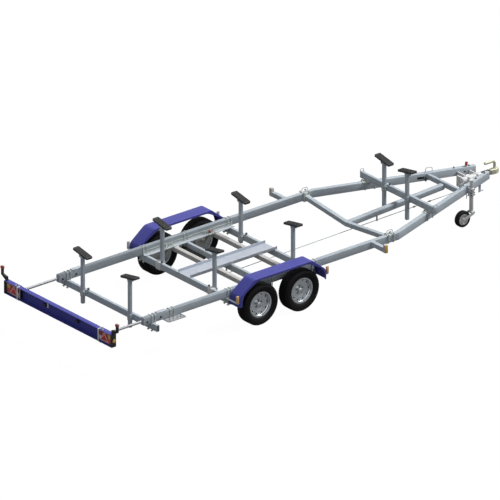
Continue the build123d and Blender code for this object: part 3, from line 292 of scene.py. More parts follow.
tube_grey = finish("tube_grey", (0.44, 0.45, 0.47), (0.34, 0.35, 0.37), 0.45, metal=0.1, scale=120.0)
pale_grey = finish("pale_grey", (0.86, 0.87, 0.88), (0.70, 0.71, 0.73), 0.40, metal=0.2, scale=120.0)
# Painted shade: the axle angles get a darker copy of the hot-dip zinc, standing in for the shade on their side faces.
shaded_angle_zinc = finish("shaded_angle_zinc", (0.44, 0.49, 0.53), (0.34, 0.385, 0.42), 0.5, scale=55.0, contrast=0.7)
nut_grey = finish("nut_grey", (0.36, 0.39, 0.38), (0.26, 0.28, 0.27), 0.45, scale=150.0)
dark_steel = finish("dark_steel", (0.20, 0.21, 0.23), (0.12, 0.13, 0.14), 0.42, metal=0.4, scale=120.0)
blue_paint = finish("blue_paint", (0.070, 0.072, 0.37), (0.058, 0.060, 0.32), 0.48, scale=14.0,
                    grain_scale=900.0, grain_depth=0.15, dust_strength=0.15, specular=0.35)
wheel_silver = finish("wheel_silver", (0.80, 0.85, 0.89), (0.70, 0.75, 0.80), 0.24, metal=0.75, scale=200.0,
                      contrast=0.2, dust_reach=0.5, dust_strength=0.10, gloss_drift=0.02)
print("metal and paint finishes:", len(bpy.data.materials) - 1)

# %% Rubber, plastic and lenses
tyre_rubber = finish("tyre_rubber", (0.008, 0.008, 0.009), (0.005, 0.005, 0.006), 0.64, scale=30.0, grain_scale=900.0,
                     grain_depth=0.5, dust_reach=0.30, dust_strength=0.03, specular=0.14, bump=0.3)
pad_rubber = finish("pad_rubber", (0.050, 0.050, 0.053), (0.028, 0.028, 0.030), 0.62, scale=25.0, grain_scale=700.0,
                    grain_depth=0.5, specular=0.4, bump=0.3)
black_rubber = finish("black_rubber", (0.022, 0.022, 0.024), (0.012, 0.012, 0.013), 0.55, scale=25.0,
                      grain_scale=700.0, grain_depth=0.4, specular=0.4, bump=0.25)
black_plastic = finish("black_plastic", (0.026, 0.026, 0.028), (0.016, 0.016, 0.018), 0.42, scale=25.0,
                       grain_scale=900.0)
white_plastic = finish("white_plastic", (0.94, 0.94, 0.94), (0.86, 0.86, 0.86), 0.4, scale=20.0, contrast=0.4)
grey_plastic = finish("grey_plastic", (0.66, 0.66, 0.66), (0.56, 0.56, 0.56), 0.45, scale=20.0, contrast=0.4)
red_plastic = finish("red_plastic", (0.42, 0.020, 0.040), (0.32, 0.012, 0.025), 0.35, scale=30.0, coat=0.4)
brick_cap = finish("brick_cap", (0.46, 0.09, 0.06), (0.36, 0.06, 0.04), 0.4)
bright_red_lens = lens("bright_red_lens", (0.95, 0.050, 0.070), (0.82, 0.030, 0.045))
red_lens = lens("red_lens", (0.48, 0.022, 0.028), (0.38, 0.014, 0.018))
amber_lens = lens("amber_lens", (0.95, 0.56, 0.13), (0.86, 0.44, 0.08))
clear_lens = lens("clear_lens", (0.95, 0.93, 0.88), (0.88, 0.85, 0.80))
finish_of_slot = {
    "galvanised": hot_dip_zinc, "axle_grey": axle_zinc, "blue_paint": blue_paint, "silver_paint": wheel_silver,
    "tyre": tyre_rubber, "pad_rubber": pad_rubber, "black_plastic": black_plastic, "grey_plastic": grey_plastic,
    "red_lens": red_lens, "amber_lens": amber_lens, "red_plastic": red_plastic, "zinc_yellow": yellow_zinc,
}
print("all finishes:", len(bpy.data.materials))

# %% [markdown]
# ## Tools for shaping pieces
# Most added pieces are small boxes, discs and turned shapes. A few helpers make them: each returns a
# working mesh whose faces carry the number of a finish, and several are joined to one mesh. Blender's
# operators could make them too, but those depend on what is selected, and a working mesh doesn't. Places
# are read from the CAD solids where one is near, so that the details follow the solids.


# %% Placing and joining
def joined(name, parts):
    """One mesh from several working meshes, with normals outward."""
    whole = bmesh.new()
    for part in parts:
        bmesh.ops.recalc_face_normals(part, faces=part.faces)
        copies = {vert: whole.verts.new(vert.co) for vert in part.verts}
        for face in part.faces:
            whole.faces.new([copies[vert] for vert in face.verts]).material_index = face.material_index
        part.free()
    mesh = bpy.data.meshes.new(name)
    whole.to_mesh(mesh)
    whole.free()
    return mesh


def piece(name, shape, finishes=(), body="chassis", stands_for=(), smooth_deg=38.0):
    """Put a mesh, or a list of working meshes, in the scene as a piece of one body."""
    mesh = joined(name, shape) if isinstance(shape, list) else shape
    for each in finishes:
        mesh.materials.append(each)
    mesh.shade_smooth()
    mesh.set_sharp_from_angle(angle=math.radians(smooth_deg))
    made = bpy.data.objects.new(name, mesh)
    scene.collection.objects.link(made)
    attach(made, body)
    if stands_for:
        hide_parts(*stands_for)
    return made


# %% Reading places from the CAD pieces
BOGIE = 0.9525
MERGE = 2e-5
FLAT_ANGLE = math.radians(0.6)


def at(x, y, z):
    """A place given from the middle between the two axles, on the floor."""
    return Vector((x - BOGIE, y, z))


def merged(cad, flat=False):
    """A CAD piece's mesh to work on, with its points merged and, if asked, its flat faces joined."""
    work = bmesh.new()
    work.from_mesh(frame["nodes"][cad].data)
    bmesh.ops.remove_doubles(work, verts=work.verts, dist=MERGE)
    if flat:
        bmesh.ops.dissolve_limit(work, angle_limit=FLAT_ANGLE, verts=work.verts, edges=work.edges)
    return work


def corner_box(points):
    """The low and the high corner of the box around some points."""
    return tuple(Vector([pick(p[k] for p in points) for k in range(3)]) for pick in (min, max))


def islands(cad):
    """The separate solids of a CAD piece as corner boxes, ordered along, then across."""
    work = merged(cad)
    left = set(work.verts)
    boxes = []
    while left:
        edge = [left.pop()]
        found = []
        while edge:
            vert = edge.pop()
            found.append(vert.co.copy())
            for link in vert.link_edges:
                other = link.other_vert(vert)
                if other in left:
                    left.remove(other)
                    edge.append(other)
        boxes.append(corner_box(found))
    work.free()
    return sorted(boxes, key=lambda b: (round(b[0].x, 2), b[0].y))


def sided(cad):
    """Each solid's corners, its side (+1 left, -1 right), and its outer and inner Y."""
    for low, high in islands(cad):
        yield (low, high, 1, high.y, low.y) if low.y > 0 else (low, high, -1, low.y, high.y)


def box_of(cad):
    """The corner box of a whole CAD piece."""
    return corner_box([corner for box in islands(cad) for corner in box])


# %% Boxes, discs and turned shapes
def paint(work, number):
    """Give every face of a working mesh one finish number."""
    for face in work.faces:
        face.material_index = number
    return work


def moved(work, matrix):
    """A working mesh turned and shifted."""
    bmesh.ops.transform(work, matrix=matrix, verts=work.verts)
    return work


def bevel(work, edges, radius, segments=2, clamp=True):
    """Round some edges of a working mesh."""
    bmesh.ops.bevel(work, geom=edges, offset=radius, offset_type="OFFSET", segments=segments, profile=0.5,
                    affect="EDGES", clamp_overlap=clamp)


def block(low, high, radius=0.0, number=0, segments=2):
    """A box between two corners, with rounded edges."""
    work = bmesh.new()
    low, high = Vector(low), Vector(high)
    bmesh.ops.create_cube(work, size=1.0)
    for vert in work.verts:
        vert.co = Vector([low[k] + (high[k] - low[k]) * (vert.co[k] + 0.5) for k in range(3)])
    if radius:
        bevel(work, work.edges[:], radius, segments)
    return paint(work, number)


def disc(centre, axis, radius, depth, number=0, sides=24, tip=None, rim=0.0):
    """A round bar along an axis; tip is the radius at its far end, rim rounds the edges."""
    work = bmesh.new()
    turn = Vector(axis).to_track_quat("Z", "Y").to_matrix().to_4x4()
    bmesh.ops.create_cone(work, cap_ends=True, segments=sides, radius1=radius, radius2=radius if tip is None else tip,
                          depth=depth, matrix=Matrix.Translation(centre) @ turn)
    if rim:
        ring = [e for e in work.edges if e.is_manifold and e.calc_face_angle(0.0) > math.radians(60)]
        bevel(work, ring, rim, clamp=False)
    return paint(work, number)


def turned(centre, axis, outline, steps, number=0):
    """A closed outline of (along, radius) pairs turned about an axis."""
    work = bmesh.new()
    turn = Vector(axis).to_track_quat("Z", "Y").to_matrix()
    rings = []
    for step in range(steps):
        angle = math.tau * step / steps
        rings.append([work.verts.new(Vector(centre) + turn @ Vector((r * math.cos(angle), r * math.sin(angle), a)))
                      for a, r in outline])
    count = len(outline)
    for step in range(steps):
        here, there = rings[step], rings[(step + 1) % steps]
        for k in range(count):
            n = (k + 1) % count
            work.faces.new((here[k], there[k], there[n], here[n]))
    return paint(work, number)


def plate_across(corners, low_x, high_x, number, radius):
    """A flat shape of (Y, Z) corners with a thickness along X."""
    work = bmesh.new()
    ends = [[work.verts.new((x, y, z)) for y, z in corners] for x in (low_x, high_x)]
    work.faces.new(ends[0])
    work.faces.new(ends[1])
    for k in range(len(corners)):
        n = (k + 1) % len(corners)
        work.faces.new((ends[0][k], ends[0][n], ends[1][n], ends[1][k]))
    bmesh.ops.recalc_face_normals(work, faces=work.faces)
    bevel(work, work.edges[:], radius)
    return paint(work, number)


# %% [markdown]
# ## Steel with rounded edges
# Cold-formed steel tube has round corners, and its light edge lines are what makes it read as tube in
# the picture. The CAD solids have sharp edges. A Bevel modifier with an angle limit could round them, but
# it would take inward and very short edges too. So for each steel piece a copy of its mesh is merged, its
# flat faces are cleaned, and the outward edges that are long enough get a small bevel. Round pieces are
# only shaded smooth. The copy then stands for the CAD piece, which stays in the physics model.

# %% A rounded copy of a CAD piece
SHARP_ANGLE = math.radians(35)
NO_EDGE = 1e9


def rounded(cad, radius=0.0, least=NO_EDGE, finish_used=None, segments=3, thin=0.0):
    """A copy of a CAD piece whose outward edges at least this long, between faces not this thin, are rounded."""
    work = merged(cad, flat=True)
    broad = {f for f in work.faces if f.calc_area() / max(f.calc_perimeter(), 1e-9) >= thin}
    sharp = [e for e in work.edges if e.is_manifold and e.calc_face_angle_signed(0.0) > SHARP_ANGLE
             and e.calc_length() >= least and all(f in broad for f in e.link_faces)]
    if sharp:
        bevel(work, sharp, radius, segments)
    mesh = bpy.data.meshes.new(cad + "_shape")
    work.to_mesh(mesh)
    work.free()
    slot = slot_of[cad]
    return piece(cad + "_dressed", mesh, [finish_used or finish_of_slot[slot]], body_of[cad], [cad])


# %% Rails, beams and other steel
for name in ("rail_left", "rail_right"):
    rounded(name, 0.010, 0.30, segments=4)
for name in ("rear_crossbeam", "aft_crossbeam", "mid_crossbeam", "fore_crossbeam", "front_crossbeam",
             "vee_crossmember_left", "vee_crossmember_right", "centre_beam", "nose_crossbeam"):
    rounded(name, 0.007, 0.30)
for name, radius, least, finish_used in (
        ("support_posts", 0.006, 0.30, None), ("keel_channel", 0.002, 0.30, keel_zinc),
        # The axle angles take the darker zinc copy, which is painted shade.
        ("axle_angle_left", 0.002, 0.30, shaded_angle_zinc), ("axle_angle_right", 0.002, 0.30, shaded_angle_zinc),
        ("front_axle", 0.006, 0.50, None), ("rear_axle", 0.006, 0.50, None),
        ("post_sleeves", 0.003, 0.05, None), ("pad_clevises", 0.0015, 0.02, None),
        ("marker_arms", 0.003, 0.05, None), ("socket_bracket", 0.0015, 0.03, None),
        ("light_bar_channel", 0.0012, 0.3, None), ("lamp_holders", 0.0012, 0.05, None),
        ("light_bar_end_caps", 0.004, 0.05, None), ("wiring_duct", 0.003, 0.05, None),
        ("support_pads", 0.008, 0.05, None)):
    rounded(name, radius, least, finish_used)
for name in ("mudguard_left", "mudguard_right"):
    rounded(name, 0.008, 0.004, thin=0.004)

# %% Castings, wheels, handle and tubes
HANDLE_COAT = 0.004
# The housing takes the raised cast zinc: painted light on its shaded rear plate.
rounded("overrun_housing", 0.004, 0.02, cast_zinc_with_painted_light)
for name in ("rim_front_left", "rim_front_right", "rim_rear_left", "rim_rear_right", "slide_bushes",
             "brake_rod", "coupling_head", "lashing_eyes"):
    rounded(name)
handle = rounded("coupling_handle")
for vert in handle.data.vertices:
    vert.co += vert.normal * HANDLE_COAT
rounded("jockey_rim", finish_used=white_plastic)
rounded("jockey_tube", finish_used=pale_grey)
rounded("jockey_fork", 0.0012, 0.03, pale_grey)
rounded("jockey_clamp", 0.0015, 0.03, pale_grey)
rounded("step_plate", 0.0015, 0.02, tube_grey)
rounded("light_bar_tubes", finish_used=tube_grey)
rounded("outline_marker_arms", 0.004, 0.03, black_rubber)

# %% [markdown]
# ## Geometry Nodes for what repeats
# Bolts, bent wire, weld beads, tread blocks and pad ribs come from five node trees. Copying objects one
# by one would do, but a tree has named inputs, so one tree serves every size. A host mesh gives the
# places, the modifier's inputs are set before the tree is first evaluated, and the result is kept as a
# plain mesh.


# %% Starting, ending and running a tree
def tree_with(name, inputs):
    """A Geometry Nodes tree with named inputs: (label, kind, value)."""
    made = bpy.data.node_groups.new(name, "GeometryNodeTree")
    made.interface.new_socket("Geometry", in_out="INPUT", socket_type="NodeSocketGeometry")
    made.interface.new_socket("Geometry", in_out="OUTPUT", socket_type="NodeSocketGeometry")
    for label, kind, value in inputs:
        socket = made.interface.new_socket(label, in_out="INPUT", socket_type="NodeSocket" + kind)
        socket.default_value = value
    made.interface.new_socket("Finish", in_out="INPUT", socket_type="NodeSocketMaterial")
    return made, node(made, "NodeGroupInput").outputs


def close_tree(tree, put, shape):
    """End a tree with real geometry that carries the finish."""
    real = node(tree, "GeometryNodeRealizeInstances", {"Geometry": shape})
    coat = node(tree, "GeometryNodeSetMaterial", {"Geometry": real, "Material": put["Finish"]})
    node(tree, "NodeGroupOutput", {"Geometry": coat})


def vector_of(tree, label):
    """A named vector that the host mesh carries at each point."""
    carried = node(tree, "GeometryNodeInputNamedAttribute", {"Name": label}, data_type="FLOAT_VECTOR")
    return carried.outputs["Attribute"]


def copies_on(tree, points, shape, rotation=None, scale=None):
    """A copy of a shape on each point, turned and scaled if asked."""
    inputs = {"Points": points, "Instance": shape, "Rotation": rotation, "Scale": scale}
    return node(tree, "GeometryNodeInstanceOnPoints", {label: value for label, value in inputs.items() if value})


def points_mesh(name, places, label, vectors):
    """A host mesh of points that carry a named vector each."""
    host = bpy.data.meshes.new(name)
    host.from_pydata([tuple(p) for p in places], [], [])
    carried = host.attributes.new(label, "FLOAT_VECTOR", "POINT")
    carried.data.foreach_set("vector", [k for vector in vectors for k in vector])
    return host


def lines_mesh(name, lines):
    """A host mesh of edges only, one polyline after another."""
    verts, edges = [], []
    for line in lines:
        start = len(verts)
        verts += [tuple(p) for p in line]
        edges += [(k, k + 1) for k in range(start, len(verts) - 1)]
    mesh = bpy.data.meshes.new(name)
    mesh.from_pydata(verts, edges, [])
    return mesh


def grown(tree, host_mesh, values):
    """Run a tree on a host mesh and return a plain mesh."""
    host = bpy.data.objects.new("host", host_mesh)
    scene.collection.objects.link(host)
    modifier = host.modifiers.new("grow", "NODES")
    modifier.node_group = tree
    for item in tree.interface.items_tree:
        if item.item_type == "SOCKET" and item.in_out == "INPUT" and item.name in values:
            modifier[item.identifier] = values[item.name]
    seen = host.evaluated_get(bpy.context.evaluated_depsgraph_get())
    mesh = bpy.data.meshes.new_from_object(seen)
    bpy.data.objects.remove(host)
    return mesh


# %% Bolts: a hexagon head on a washer at each point
WASHER = 0.003
bolt_tree, put = tree_with("hex_bolts", [("Head Radius", "Float", 0.010), ("Head Height", "Float", 0.008),
                                         ("Washer Radius", "Float", 0.014), ("Thread", "Float", 0.010)])
thread_radius = calc(bolt_tree, "MULTIPLY", put["Head Radius"], 0.55)
head_z = scaled(bolt_tree, put["Head Height"], 0.5, WASHER)
thread_z = scaled(bolt_tree, put["Thread"], 0.5, put["Head Height"])
whole = node(bolt_tree, "GeometryNodeJoinGeometry")
for radius, depth, middle_z, sides in ((put["Head Radius"], put["Head Height"], head_z, 6),
                                       (thread_radius, put["Thread"], thread_z, 8),
                                       (put["Washer Radius"], WASHER, WASHER / 2, 14)):
    bar = node(bolt_tree, "GeometryNodeMeshCylinder", {"Radius": radius, "Depth": depth, "Vertices": sides})
    lift = node(bolt_tree, "ShaderNodeCombineXYZ", {"Z": middle_z})
    feed(bolt_tree, whole, {0: node(bolt_tree, "GeometryNodeTransform", {"Geometry": bar, "Translation": lift})})
facing = node(bolt_tree, "FunctionNodeAlignRotationToVector", {"Vector": vector_of(bolt_tree, "aim")}, axis="Z")
close_tree(bolt_tree, put, copies_on(bolt_tree, put["Geometry"], whole, facing))


def bolts(name, spots, finish_used, body="chassis", size=0.010, thread=0.008):
    """Hexagon bolts at (place, aim) pairs."""
    host = points_mesh(name + "_places", [place for place, _ in spots], "aim", [way for _, way in spots])
    mesh = grown(bolt_tree, host, {"Head Radius": size, "Head Height": size * 0.8, "Washer Radius": size * 1.5,
                                   "Thread": thread, "Finish": finish_used})
    return piece(name, mesh, (), body)


# %% Bent wire: a polyline with rounded corners and a round section
wire_tree, put = tree_with("bent_wire", [("Wire Radius", "Float", 0.005), ("Bend Radius", "Float", 0.012)])
path = node(wire_tree, "GeometryNodeMeshToCurve", {"Mesh": put["Geometry"]})
bent = node(wire_tree, "GeometryNodeFilletCurve", {"Curve": path, "Radius": put["Bend Radius"], "Count": 5,
                                                   "Limit Radius": True}, mode="POLY")
section = node(wire_tree, "GeometryNodeCurvePrimitiveCircle", {"Radius": put["Wire Radius"], "Resolution": 8})
close_tree(wire_tree, put, node(wire_tree, "GeometryNodeCurveToMesh",
                                {"Curve": bent, "Profile Curve": section, "Fill Caps": True}))


def wires(name, lines, finish_used, radius, bend):
    """Round wire bent along polylines."""
    host = lines_mesh(name + "_lines", lines)
    piece(name, grown(wire_tree, host, {"Wire Radius": radius, "Bend Radius": bend, "Finish": finish_used}))


# %% Weld beads: small drops along a seam
weld_tree, put = tree_with("weld_seam", [("Bead", "Float", 0.004), ("Step", "Float", 0.006), ("Seed", "Int", 5)])
path = node(weld_tree, "GeometryNodeMeshToCurve", {"Mesh": put["Geometry"]})
drops = node(weld_tree, "GeometryNodeCurveToPoints", {"Curve": path, "Length": put["Step"]}, mode="LENGTH")
drop = node(weld_tree, "GeometryNodeMeshUVSphere", {"Radius": put["Bead"], "Segments": 6, "Rings": 4})
chance = node(weld_tree, "FunctionNodeRandomValue", {"Seed": put["Seed"], 2: 0.85, 3: 1.2}, data_type="FLOAT")
close_tree(weld_tree, put, copies_on(weld_tree, drops, drop, drops.outputs["Rotation"], chance.outputs[1]))


def welds(name, lines, bead):
    """Weld seams along polylines."""
    host = lines_mesh(name + "_lines", lines)
    piece(name, grown(weld_tree, host, {"Bead": bead, "Step": bead * 1.3, "Finish": hot_dip_zinc}), smooth_deg=80.0)


# %% Tread: rings of blocks, one ring at each host point
TREAD_BLOCKS = 72
tread_tree, put = tree_with("tread_rings", [("Blocks", "Int", 60), ("Radius", "Float", 0.31),
                                            ("Block Size", "Vector", (0.02, 0.02, 0.005)), ("Skew", "Float", 0.3)])
ring = node(tread_tree, "GeometryNodeMeshCircle", {"Vertices": put["Blocks"], "Radius": put["Radius"]})
upright = node(tread_tree, "GeometryNodeTransform", {"Geometry": ring, "Rotation": (math.pi / 2, 0.0, 0.0)})
stone = node(tread_tree, "GeometryNodeMeshCube", {"Size": put["Block Size"]})
skewed = node(tread_tree, "ShaderNodeCombineXYZ", {"Z": put["Skew"]})
leaning = node(tread_tree, "GeometryNodeTransform", {"Geometry": stone, "Rotation": skewed})
outward = node(tread_tree, "GeometryNodeInputPosition")
radial = node(tread_tree, "FunctionNodeAlignRotationToVector", {"Vector": outward}, axis="Z")
row = copies_on(tread_tree, upright, leaning, radial)
close_tree(tread_tree, put, copies_on(tread_tree, put["Geometry"], row, vector_of(tread_tree, "turn")))


def tread(places, turns, radius, size, skew):
    """A mesh of block rings at hub-side places, each turned a little about the wheel's axis."""
    host = points_mesh("tread_places", places, "turn", [(0.0, angle, 0.0) for angle in turns])
    return grown(tread_tree, host, {"Blocks": TREAD_BLOCKS, "Radius": radius, "Block Size": size, "Skew": skew,
                                    "Finish": tyre_rubber})


# %% Ribs: bars side by side on a pad
rib_tree, put = tree_with("pad_ribs", [("Ribs", "Int", 7), ("Pitch", "Float", 0.014),
                                       ("Rib Size", "Vector", (0.3, 0.006, 0.004))])
half_pitch = calc(rib_tree, "MULTIPLY", put["Pitch"], -0.5)
reach = calc(rib_tree, "MULTIPLY", calc(rib_tree, "SUBTRACT", put["Ribs"], 1.0), half_pitch)
first = node(rib_tree, "ShaderNodeCombineXYZ", {"Y": reach})
step = node(rib_tree, "ShaderNodeCombineXYZ", {"Y": put["Pitch"]})
line = node(rib_tree, "GeometryNodeMeshLine", {"Count": put["Ribs"], "Start Location": first, "Offset": step})
bars = copies_on(rib_tree, line, node(rib_tree, "GeometryNodeMeshCube", {"Size": put["Rib Size"]}))
close_tree(rib_tree, put, copies_on(rib_tree, put["Geometry"], bars, vector_of(rib_tree, "tilt")))
print("node trees:", [t.name for t in (bolt_tree, wire_tree, weld_tree, tread_tree, rib_tree)])

# %% [markdown]
# ## U-bolts
# The crossbeams lie under the rails. A U-bolt on each side of a beam goes over the rail, and plates under
# the beam join their legs. The front crossbeam and the V-shaped member are held the other way up, with
# the plates and nuts on top of the rail. Each U could be drawn as a curve by hand. Here it is four points
# for the wire tree, so it follows the beam that it holds, and the tree rounds its corners.

# %% The line of the rails and drawbars
SIDES = (1, -1)
UP, DOWN, REARWARD = (0.0, 0.0, 1.0), (0.0, 0.0, -1.0), (-1.0, 0.0, 0.0)
rail_low, rail_high = islands("rail_left")[0]
RAIL_MID_Y, RAIL_HALF, RAIL_TOP, RAIL_BOTTOM = 0.956, 0.035, rail_high.z, rail_low.z
BEND_X, DRAWBAR_X, DRAWBAR_Y = 2.345, 4.710, 0.1412
SLOPE = (RAIL_MID_Y - DRAWBAR_Y) / (DRAWBAR_X - BEND_X)
SLANT = math.sqrt(1.0 + SLOPE * SLOPE)
DRAWBAR_ANGLE = math.atan(SLOPE)


def rail_y(x):
    """The middle of the left rail or drawbar at a place measured from the bogie."""
    return RAIL_MID_Y - max(0.0, x - BEND_X) * SLOPE


def drawbar_inner_y(x):
    """The inner face of the left drawbar at a place measured from the bogie."""
    return rail_y(x) - RAIL_HALF * SLANT


print("drawbar angle:", round(math.degrees(DRAWBAR_ANGLE), 1), "degrees")

# %% U-bolts where beams cross the rails
WIRE, WIRE_BEND = 0.0055, 0.016
PLATE, SEAT, PLATE_HALF, PLATE_EDGE = 0.006, 0.008, 0.014, 0.016
LEGS_PAST, PLATE_PAST = 0.022, 0.022
VEE_PLATE_Y = 0.909
hoops, hoop_nuts, clamp_plates = [], [], []


def u_bolt(x, middle, half, end_z, bend_z, nut_z):
    """A U-bolt across a rail with its two nuts; gives the Y of its legs."""
    legs = [middle + s * (half + WIRE) for s in (-1, 1)]
    hoops.append([(x, legs[0], end_z), (x, legs[0], bend_z), (x, legs[1], bend_z), (x, legs[1], end_z)])
    hoop_nuts.extend((Vector((x, leg, nut_z)), UP if end_z > bend_z else DOWN) for leg in legs)
    return legs


def bridge(x, legs, z):
    """A plate that joins the two legs of one U-bolt."""
    clamp_plates.append(block((x - PLATE_HALF, legs[0] - PLATE_EDGE, z),
                              (x + PLATE_HALF, legs[1] + PLATE_EDGE, z + PLATE), 0.001))


for beam in ("rear_crossbeam", "aft_crossbeam", "mid_crossbeam", "fore_crossbeam"):
    low, high = box_of(beam)
    for side in SIDES:
        for x in (low.x - WIRE - 0.001, high.x + WIRE + 0.001):
            legs = u_bolt(x, side * RAIL_MID_Y, RAIL_HALF, low.z - LEGS_PAST, RAIL_TOP + WIRE, low.z - PLATE)
        for leg in legs:
            clamp_plates.append(block((low.x - PLATE_PAST, leg - PLATE_EDGE, low.z - PLATE),
                                      (high.x + PLATE_PAST, leg + PLATE_EDGE, low.z), 0.001))
low, high = box_of("front_crossbeam")
beam_x = (low.x + high.x) / 2 + BOGIE
for side in SIDES:
    for x in (beam_x - 0.068, beam_x + 0.068):
        u_bolt(x - BOGIE, side * rail_y(x), RAIL_HALF * SLANT, RAIL_TOP + 0.020, RAIL_BOTTOM - WIRE, RAIL_TOP + SEAT)
    spot = Matrix.Translation(at(beam_x, side * rail_y(beam_x), RAIL_TOP))
    clamp_plates.append(moved(block((-0.105, -0.056, 0.0), (0.105, 0.056, SEAT), 0.0015),
                              spot @ Matrix.Rotation(-side * DRAWBAR_ANGLE, 4, "Z")))
low, high = box_of("vee_crossmember_left")
for x in (low.x - 0.012, high.x + 0.012):
    for side in SIDES:
        bridge(x, u_bolt(x, side * RAIL_MID_Y, RAIL_HALF, RAIL_TOP + 0.024, RAIL_BOTTOM - WIRE, RAIL_TOP + PLATE),
               RAIL_TOP)
for side in SIDES:
    clamp_plates.append(block((low.x - PLATE_PAST, side * VEE_PLATE_Y - 0.004, RAIL_BOTTOM - 0.012),
                              (high.x + PLATE_PAST, side * VEE_PLATE_Y + 0.004, RAIL_TOP + 0.004), 0.0015))
step_low, step_high = box_of("step_plate")
step_x = (step_low.x + step_high.x) / 2
for x in (step_x - 0.035, step_x + 0.035):
    bridge(x, u_bolt(x, -RAIL_MID_Y, RAIL_HALF, step_low.z - LEGS_PAST, RAIL_TOP + WIRE, step_low.z - PLATE),
           step_low.z - PLATE)
wires("u_bolts", hoops, bright_zinc, WIRE, WIRE_BEND)
bolts("u_bolt_nuts", hoop_nuts, nut_grey, size=0.009, thread=0.010)
piece("clamp_plates", clamp_plates, [bright_zinc])
print("U-bolts:", len(hoops), "nuts:", len(hoop_nuts))

# %% [markdown]
# ## Rail ends, step and closed beam ends
# Near their rear ends the rails carry a plate on top, and lock bolts in their sides hold the light bar's
# tubes. The step has a raised lip and bars for grip, and plates close the ends of the front crossbeam.
# This thin trim could be part of the solids. It is laid on them here, which keeps those simple.

# %% Rail-end plates, lock bolts and the step
END_PLATE_X = (-2.105, -1.930)
LOCK_BOLTS = ((-2.285, 0.520), (-2.040, 0.528))
STEP_BARS = (-0.115, -0.045, 0.025, 0.085)
end_plates, lock_bolts = [], []
for side in SIDES:
    middle = side * RAIL_MID_Y
    end_plates.append(block(at(END_PLATE_X[0], middle - 0.033, RAIL_TOP),
                            at(END_PLATE_X[1], middle + 0.033, RAIL_TOP + 0.012), 0.004))
    for x, z in LOCK_BOLTS:
        lock_bolts += [(at(x, middle + s * RAIL_HALF, z), (0.0, s, 0.0)) for s in (-1.0, 1.0)]
piece("rail_end_plates", end_plates, [keel_zinc])
bolts("lock_bolts", lock_bolts, dark_steel, size=0.012, thread=0.010)
lip_low, lip_high = step_low + Vector((0.012, 0.012, 0.0)), step_high - Vector((0.012, 0.075, 0.0))
lip = [(lip_low.x, lip_high.y), (lip_low.x, lip_low.y), (lip_high.x, lip_low.y), (lip_high.x, lip_high.y)]
bars = [[(step_x + x, lip_low.y + 0.030), (step_x + x + 0.045, lip_high.y - 0.020)] for x in STEP_BARS]
wires("step_lip", [[(x, y, step_high.z) for x, y in line] for line in [lip] + bars], dark_steel, 0.005, 0.030)
print("rail-end plates:", len(end_plates), "lock bolts:", len(lock_bolts), "step bars:", len(bars))

# %% Closed ends of the front crossbeam
CAP_INSET = 0.003
low, high = box_of("front_crossbeam")
caps = []
for first, second in ((low.y + 0.0005, low.y + 0.005), (high.y - 0.005, high.y - 0.0005)):
    caps.append(block((low.x + CAP_INSET, first, low.z + CAP_INSET),
                      (high.x - CAP_INSET, second, high.z - CAP_INSET), 0.001))
piece("beam_end_caps", caps, [hot_dip_zinc])
print("beam end caps:", len(caps))

# %% [markdown]
# ## Bolts of the posts, axles and drawbars
# Bolts clamp the posts in their sleeves, a knob stands beside each post, the pads tilt on pivot bolts, and
# more bolts hold the axles and the drawbars' fittings. Each could be its own mesh. A list of places and
# directions for the bolt tree is shorter, and places read from the solids stay right when those change.

# %% Post bolts, beam knobs and wraps, pad pivots
WRAP_HALF, WRAP_THICK = 0.052, 0.009
post_bolts, knobs, wraps = [], [], []
beam_boxes = [box_of(beam) for beam in ("rear_crossbeam", "aft_crossbeam", "fore_crossbeam", "front_crossbeam")]
aft_low, aft_high = beam_boxes[1]
for low, high in islands("post_sleeves"):
    middle = (low + high) / 2
    inboard = -1.0 if middle.y > 0 else 1.0
    for z in (low.z + 0.028, high.z - 0.028):
        post_bolts.append((Vector((low.x, middle.y, z)), REARWARD))
        post_bolts.append((Vector((middle.x, middle.y + inboard * (high.y - low.y) / 2, z)), (0.0, inboard, 0.0)))
    beam_low, beam_high = min(beam_boxes, key=lambda box: abs((box[0].x + box[1].x) / 2 - middle.x))
    foot = Vector(((beam_low.x + beam_high.x) / 2, middle.y + inboard * 0.060, beam_high.z))
    knobs.append(disc(foot + Vector((0, 0, 0.020)), UP, 0.017, 0.022, 0, 16, rim=0.003))
    knobs.append(disc(foot + Vector((0, 0, 0.005)), UP, 0.007, 0.016, 0, 10))
    if low.x < aft_high.x + 0.05 and high.x > aft_low.x - 0.05:
        wraps.append(block((aft_low.x - WRAP_THICK, middle.y - WRAP_HALF, aft_low.z - WRAP_THICK),
                           (aft_high.x + WRAP_THICK, middle.y + WRAP_HALF, aft_high.z + WRAP_THICK), 0.004))
piece("beam_wraps", wraps, [pale_grey])
bolts("post_bolts", post_bolts, bright_zinc, size=0.009)
piece("clamp_knobs", knobs, [dark_steel])
pivots = []
for low, high in islands("pad_clevises"):
    middle = (low + high) / 2
    for x, way in ((low.x, -1.0), (high.x, 1.0)):
        pivots.append((Vector((x, middle.y, middle.z - 0.004)), (way, 0.0, 0.0)))
bolts("pad_pivots", pivots, bright_zinc, size=0.008, thread=0.005)
print("post bolts:", len(post_bolts), "beam wraps:", len(wraps), "pad pivots:", len(pivots))
